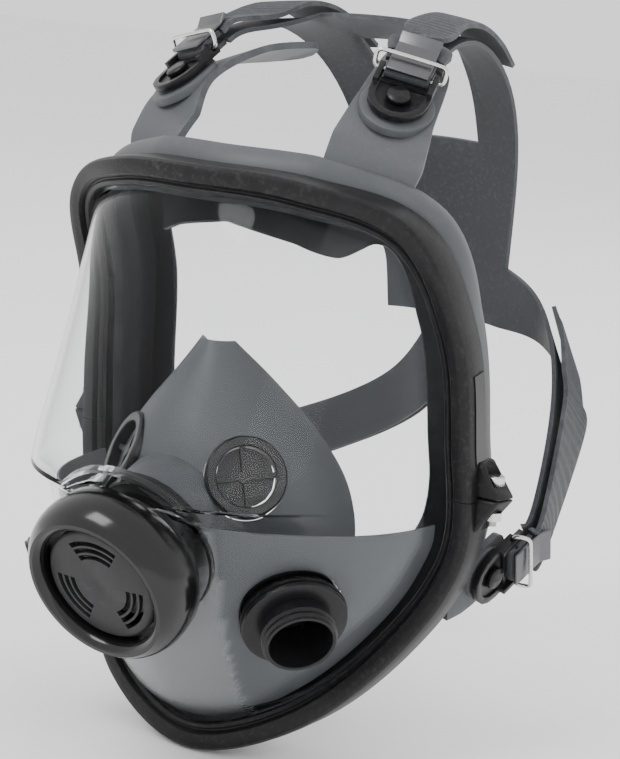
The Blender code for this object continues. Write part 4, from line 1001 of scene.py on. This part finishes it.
def makePort(side, place):
    length, root, crest, pitch = 16.0, 14.3, 15.2, 3.2
    profile = [(12.8, length - 0.3), (13.1, length), (root - 0.2, length), (root, length - 0.2)]
    for index in range(2):
        top = length - 1.2 - index * pitch
        profile += [(root, top), (crest - 0.2, top - 0.8), (crest, top - 1.0), (crest, top - 1.5),
                    (crest - 0.2, top - 1.7), (root, top - 2.6)]
    profile += [(root, 5.0), (20.6, 5.0), (21.2, 4.7), (21.4, 4.2), (21.4, 2.8), (21.1, 2.5),
                (14.8, 2.5), (14.8, -12.0), (12.8, -12.0)]
    bm = spun(profile, place)
    hub, arms, turn = 2.4, 5, 0.3
    bm = combine(bm, rod(hub, -5.5, -3.9, place, 32), "UNION")
    bm = spokes(bm, place, arms, turn, armOutline(1.2, 13.6, 0.8), -5.4, -4.0)
    publish(bm, "portStub" + side.title(), "mask", "mouldedBlack", ["port_" + side], 30)


for side, place in portPlaces.items():
    makePort(side, place)
print("ports made")


# Ribbed straps, on the same lines as their solids

strap = dict(width=24.0, wall=2.0, cut=25.0, joint=1.0, bar=13.0, barHeight=6.2, wire=1.1,
             gap=0.3, tailLift=5.0, ribPitch=2.3, ribHeight=0.42, ribBorder=0.07, columns=14)
head = dict(back=144.0, crown=171.0, panelHalf=36.0, armLevel=6)
highLayer = strap["barHeight"] + strap["wire"] + strap["gap"]
bandEdges = [(31, 55), (28, 52), (25, 49), (22, 46), (19, 42), (18, head["panelHalf"] + 2),
             (18, head["panelHalf"]), (18, head["panelHalf"] + 1)]
bandLevels = [0, 1, 2, 3, 4, 5, 6, 6.25, 6.5, 6.75, 7]


headCentre = Vector((0, head["back"] * 0.45, 30))


def headPoint(level, x):
    back, crown = head["back"], head["crown"]
    line = ((34, crown - 6), (62, crown), (92, crown - 9), (back - 27, crown - 28),
            (back - 11, crown - 54), (back - 3, crown - 82), (back, crown - 110),
            (back - 2, crown - 138))
    y, z = catmull([Vector(point) for point in line], level)
    return Vector((x, y - x * x / 260, z - x * x / 700))


def bandEdge(level):
    return catmull([Vector(edge) for edge in bandEdges], level)


def strapStart(place, layer, cut):
    half = strap["width"] / 2
    points = []
    for step in range(5):
        across = half * (step / 2 - 1)
        reach = (cut ** 2 - across ** 2) ** 0.5
        points.append(place @ Vector((across, reach, layer + strap["wall"] / 2)))
    return points


def bandRow(middle, across):
    return [middle + across * strap["width"] * s / 4 for s in (-2, -1, 0, 1, 2)]


def leftArmStart():
    back = head["back"]
    levels = [level for level in bandLevels if level >= head["armLevel"]]
    rows = [[headPoint(level, bandEdge(level)[1]) for level in levels]]
    for middle, across in [((58, back - 14, 41), (0.25, 0.1, -0.96)),
                           ((80, back - 34, 27), (0.32, 0.25, -0.91)),
                           ((95, back - 56, 3), (0.1, 0.75, -0.66))]:
        rows.append(bandRow(Vector(middle), Vector(across).normalized()))
    return rows


def rightArmStart(place):
    back = head["back"]
    last = bandLevels[-1]
    root = [headPoint(last, bandEdge(last)[0] * s / 4) for s in range(5)]
    line = [root[2], Vector((5, back - 7, 13)), Vector((-8, back - 14, -7)),
            Vector((-34, back - 25, -24)), Vector((-62, back - 46, -36)),
            Vector((-86, back - 66, -40))]
    rows = [root]
    for index in range(1, len(line)):
        ahead = line[min(index + 1, len(line) - 1)]
        outward = (line[index] - Vector((0, back * 0.3, 0))).normalized()
        across = outward.cross(ahead - line[index - 1]).normalized()
        if index == len(line) - 1:
            across = place.to_3x3() @ Vector((1, 0, 0))
        if across.dot(rows[-1][-1] - rows[-1][0]) < 0:
            across = -across
        rows.append(bandRow(line[index], across))
    return rows


def smoothRows(rows, steps):
    fine = []
    for index in range((len(rows) - 1) * steps + 1):
        place = index / steps
        fine.append([catmull([row[c] for row in rows], place) for c in range(len(rows[0]))])
    return fine


def lifted(rows, height):
    moved = []
    for index, row in enumerate(rows):
        run = rows[min(index + 1, len(rows) - 1)][2] - rows[max(index - 1, 0)][2]
        normal = (row[-1] - row[0]).cross(run).normalized()
        if normal.dot(row[2] - headCentre) < 0:
            normal = -normal
        moved.append([point + normal * height for point in row])
    return moved


def tailRows(name):
    kind, label = name.split("_")
    side = sides[label]
    place = bucklePlaces[name]
    first = [strapStart(place, highLayer, cut) for cut in (strap["cut"], strap["cut"] + 8)]
    if kind == "upper":
        arm = []
        for level in (0, 0.7, 1.3, 1.9, 2.5):
            inner, outer = bandEdge(level)
            across = [side * (inner + (outer - inner) * s / 4) for s in range(5)]
            arm.append([headPoint(level, x) for x in across])
    else:
        rows = leftArmStart() if side > 0 else rightArmStart(place)
        arm = smoothRows(rows, 2)[:2:-1]
    rows = lifted(arm, strap["tailLift"])
    if (first[1][0] - rows[0][0]).length > (first[1][0] - rows[0][-1]).length:
        rows = [row[::-1] for row in rows]
    return first + rows


def ribbedSheet(rows, outside, plain=(0.0, 1.0)):
    # fine sheet through the rows; raised bars across its outer side between the plain ends
    middles = [row[len(row) // 2] for row in rows]
    length = sum((b - a).length for a, b in zip(middles, middles[1:]))
    count = max(8, round(length / strap["ribPitch"] * 4))
    last = len(rows) - 1

    def pointAt(share, down):
        line = [catmull([row[c] for row in rows], down * last) for c in range(len(rows[0]))]
        return catmull(line, share * (len(line) - 1))

    bm = bmesh.new()
    bmesh.ops.create_grid(bm, x_segments=strap["columns"], y_segments=count, size=0.5)
    shares = [(vert.co.x + 0.5, 0.5 - vert.co.y) for vert in bm.verts]
    for vert, (share, down) in zip(bm.verts, shares):
        vert.co = pointAt(share, down)
    bmesh.ops.recalc_face_normals(bm, faces=bm.faces)
    bm.normal_update()
    bm.faces.ensure_lookup_table()
    facing = bm.faces[len(bm.faces) // 2]
    if facing.normal.dot(outside) < 0:
        bmesh.ops.reverse_faces(bm, faces=bm.faces)
    total = len(bm.verts)
    bm = thickened(bm, strap["wall"], even=False)
    bm.normal_update()
    bm.verts.ensure_lookup_table()
    lifts = []
    for index in range(total):
        share, down = shares[index]
        step = round(down * count)
        border = strap["ribBorder"]
        raised = step % 4 in (1, 2) and border < share < 1 - border and plain[0] < down < plain[1]
        lifts.append(strap["ribHeight"] if raised else 0.0)
    base = [bm.verts[index].normal.copy() for index in range(total)]
    for index, lift in enumerate(lifts):
        bm.verts[index].co += base[index] * lift
    return bm


def strapEndRows(place):
    half = strap["width"] / 2 - 2.6
    cut = strap["cut"] - strap["joint"]
    fold = strap["wire"] + strap["gap"] + strap["wall"] / 2
    line = [(cut, strap["barHeight"] - fold), (cut - 5, strap["barHeight"] - fold)]
    for step in range(-6, 7):
        turn = pi / 2 * step / 6
        line.append((strap["bar"] - fold * cos(turn), strap["barHeight"] + fold * sin(turn)))
    line += [(cut - 5, strap["barHeight"] + fold), (cut, strap["barHeight"] + fold)]
    rows = []
    for y, z in line:
        row = []
        for share in (-1, -0.5, 0, 0.5, 1):
            reach = (cut ** 2 - (half * share) ** 2) ** 0.5 if y == cut else y
            row.append(place @ Vector((half * share, reach, z)))
        rows.append(row)
    return rows


def makeStraps():
    for name, place in bucklePlaces.items():
        normal = place.to_3x3() @ Vector((0, 0, 1))
        rows = smoothRows(tailRows(name), 1)
        middle = rows[len(rows) // 2][2]
        label = name.title().replace("_", "")
        bm = ribbedSheet(rows, middle - headCentre, (0.0, 0.9))
        publish(bm, "strapTail" + label, "mask", "harnessRubber", ["strap_tail_" + name], 38)
        bm = ribbedSheet(strapEndRows(place), -normal, (0.62, 1.0))
        publish(bm, "strapEnd" + label, "buckle_" + name, "harnessRubber",
                ["strap_end_" + name], 38)


makeStraps()
print("ribbed straps made")


# Buckles and small parts from the solids, some with rounded edges

def camel(node):
    parts = node.split("_")
    return parts[0] + "".join(part.title() for part in parts[1:])


roundedNodes = {
    # node: body, look, crease angle, levels, bevel
    "head_harness": ("mask", "harnessRubber", 50, 2, 0.0),
    "housing_gasket": ("mask", "frameRubber", 30, 0, 0.0),
    "housing_nut": ("mask", "mouldedBlack", 30, 0, 0.0),
    "diaphragm_oring": ("mask", "frameRubber", 30, 0, 0.0),
    "speech_diaphragm": ("mask", "paleSilicone", 30, 0, 0.0),
    "exhale_flap": ("exhale_valve", "paleSilicone", 30, 0, 0.0),
}
for side in sides:
    roundedNodes["clamp_screw_" + side] = ("mask", "wire", 30, 0, 0.0)
    roundedNodes["clamp_nut_" + side] = ("mask", "wire", 30, 0, 0.0)
    roundedNodes["port_gasket_" + side] = ("mask", "frameRubber", 30, 0, 0.0)
    roundedNodes["port_nut_" + side] = ("mask", "mouldedBlack", 30, 0, 0.0)
    roundedNodes["check_flap_" + side] = ("check_valve_" + side, "grilleGrey", 30, 0, 0.0)
    roundedNodes["inhale_flap_" + side] = ("inhale_valve_" + side, "frameRubber", 30, 0, 0.0)
for name in buckleNames:
    roundedNodes["buckle_frame_" + name] = ("buckle_" + name, "mouldedBlack", 30, 0, 0.35)
    roundedNodes["buckle_wire_" + name] = ("lever_" + name, "wire", 80, 2, 0.0)
    roundedNodes["buckle_lever_" + name] = ("lever_" + name, "leverMetal", 30, 0, 0.35)
    roundedNodes["buckle_stud_" + name] = ("mask", "mouldedBlack", 40, 0, 0.0)
for node, (body, look, crease, levels, bevel) in roundedNodes.items():
    publish(fromNode(node, crease, levels, bevel), camel(node), body, look, [node], 35)
print("straps and buckles made")


# Floor, light and camera

def makeStage():
    low = cadBox[0][2] - 0.0005
    bm = bmesh.new()
    bmesh.ops.create_grid(bm, x_segments=1, y_segments=1, size=6.0)
    bmesh.ops.translate(bm, vec=(0, 0, low), verts=bm.verts)
    mesh = bpy.data.meshes.new("floor")
    bm.to_mesh(mesh)
    bm.free()
    pale = bpy.data.materials.new("paleFloor")
    pale.use_nodes = True
    shader = pale.node_tree.nodes["Principled BSDF"]
    shader.inputs["Base Color"].default_value = (0.94, 0.94, 0.94, 1)
    shader.inputs["Roughness"].default_value = 0.7
    mesh.materials.append(pale)
    floor = bpy.data.objects.new("floor", mesh)
    bpy.context.scene.collection.objects.link(floor)


lights = {
    # place, target, size, power, seen in reflections
    "keyLight": ((-0.5, -1.2, 1.6), (0.0, 0.0, 0.0), 0.9, 26.0, True),
    "fillLight": ((1.6, -0.9, 0.9), (0.0, 0.0, 0.0), 1.3, 14.0, False),
    "backLight": ((0.3, 1.5, 1.3), (0.0, 0.0, 0.05), 1.2, 12.0, False),
}


def makeLights():
    for name, (place, target, size, power, seen) in lights.items():
        data = bpy.data.lights.new(name, "AREA")
        data.size = size
        data.energy = power
        lamp = bpy.data.objects.new(name, data)
        lamp.location = place
        lamp.visible_glossy = seen
        lamp.rotation_euler = (Vector(target) - Vector(place)).to_track_quat("-Z", "Y").to_euler()
        bpy.context.scene.collection.objects.link(lamp)
    world = bpy.data.worlds.new("studio")
    world.use_nodes = True
    world.node_tree.nodes["Background"].inputs["Color"].default_value = (1, 1, 1, 1)
    world.node_tree.nodes["Background"].inputs["Strength"].default_value = 1.3
    bpy.context.scene.world = world


camera = dict(azimuth=30.74, elevation=11.22, roll=4.78, distance=0.8953, focal=123.52,
              target=(0.01702, -0.00039, 0.02047))


def makeCamera():
    a, e, r = (radians(camera[k]) for k in ("azimuth", "elevation", "roll"))
    back = Vector((sin(a) * cos(e), -cos(a) * cos(e), sin(e)))
    right = Vector((cos(a), sin(a), 0))
    up = back.cross(right)
    turnedRight = cos(r) * right + sin(r) * up
    turnedUp = cos(r) * up - sin(r) * right
    data = bpy.data.cameras.new("camera")
    data.lens = camera["focal"]
    data.sensor_width = 36.0
    data.sensor_fit = "HORIZONTAL"
    eye = bpy.data.objects.new("camera", data)
    turn = Matrix((turnedRight, turnedUp, back)).transposed().to_4x4()
    spot = Vector(camera["target"]) + back * camera["distance"]
    eye.matrix_world = Matrix.Translation(spot) @ turn
    bpy.context.scene.collection.objects.link(eye)
    bpy.context.scene.camera = eye


makeStage()
makeLights()
makeCamera()
print("scene made")
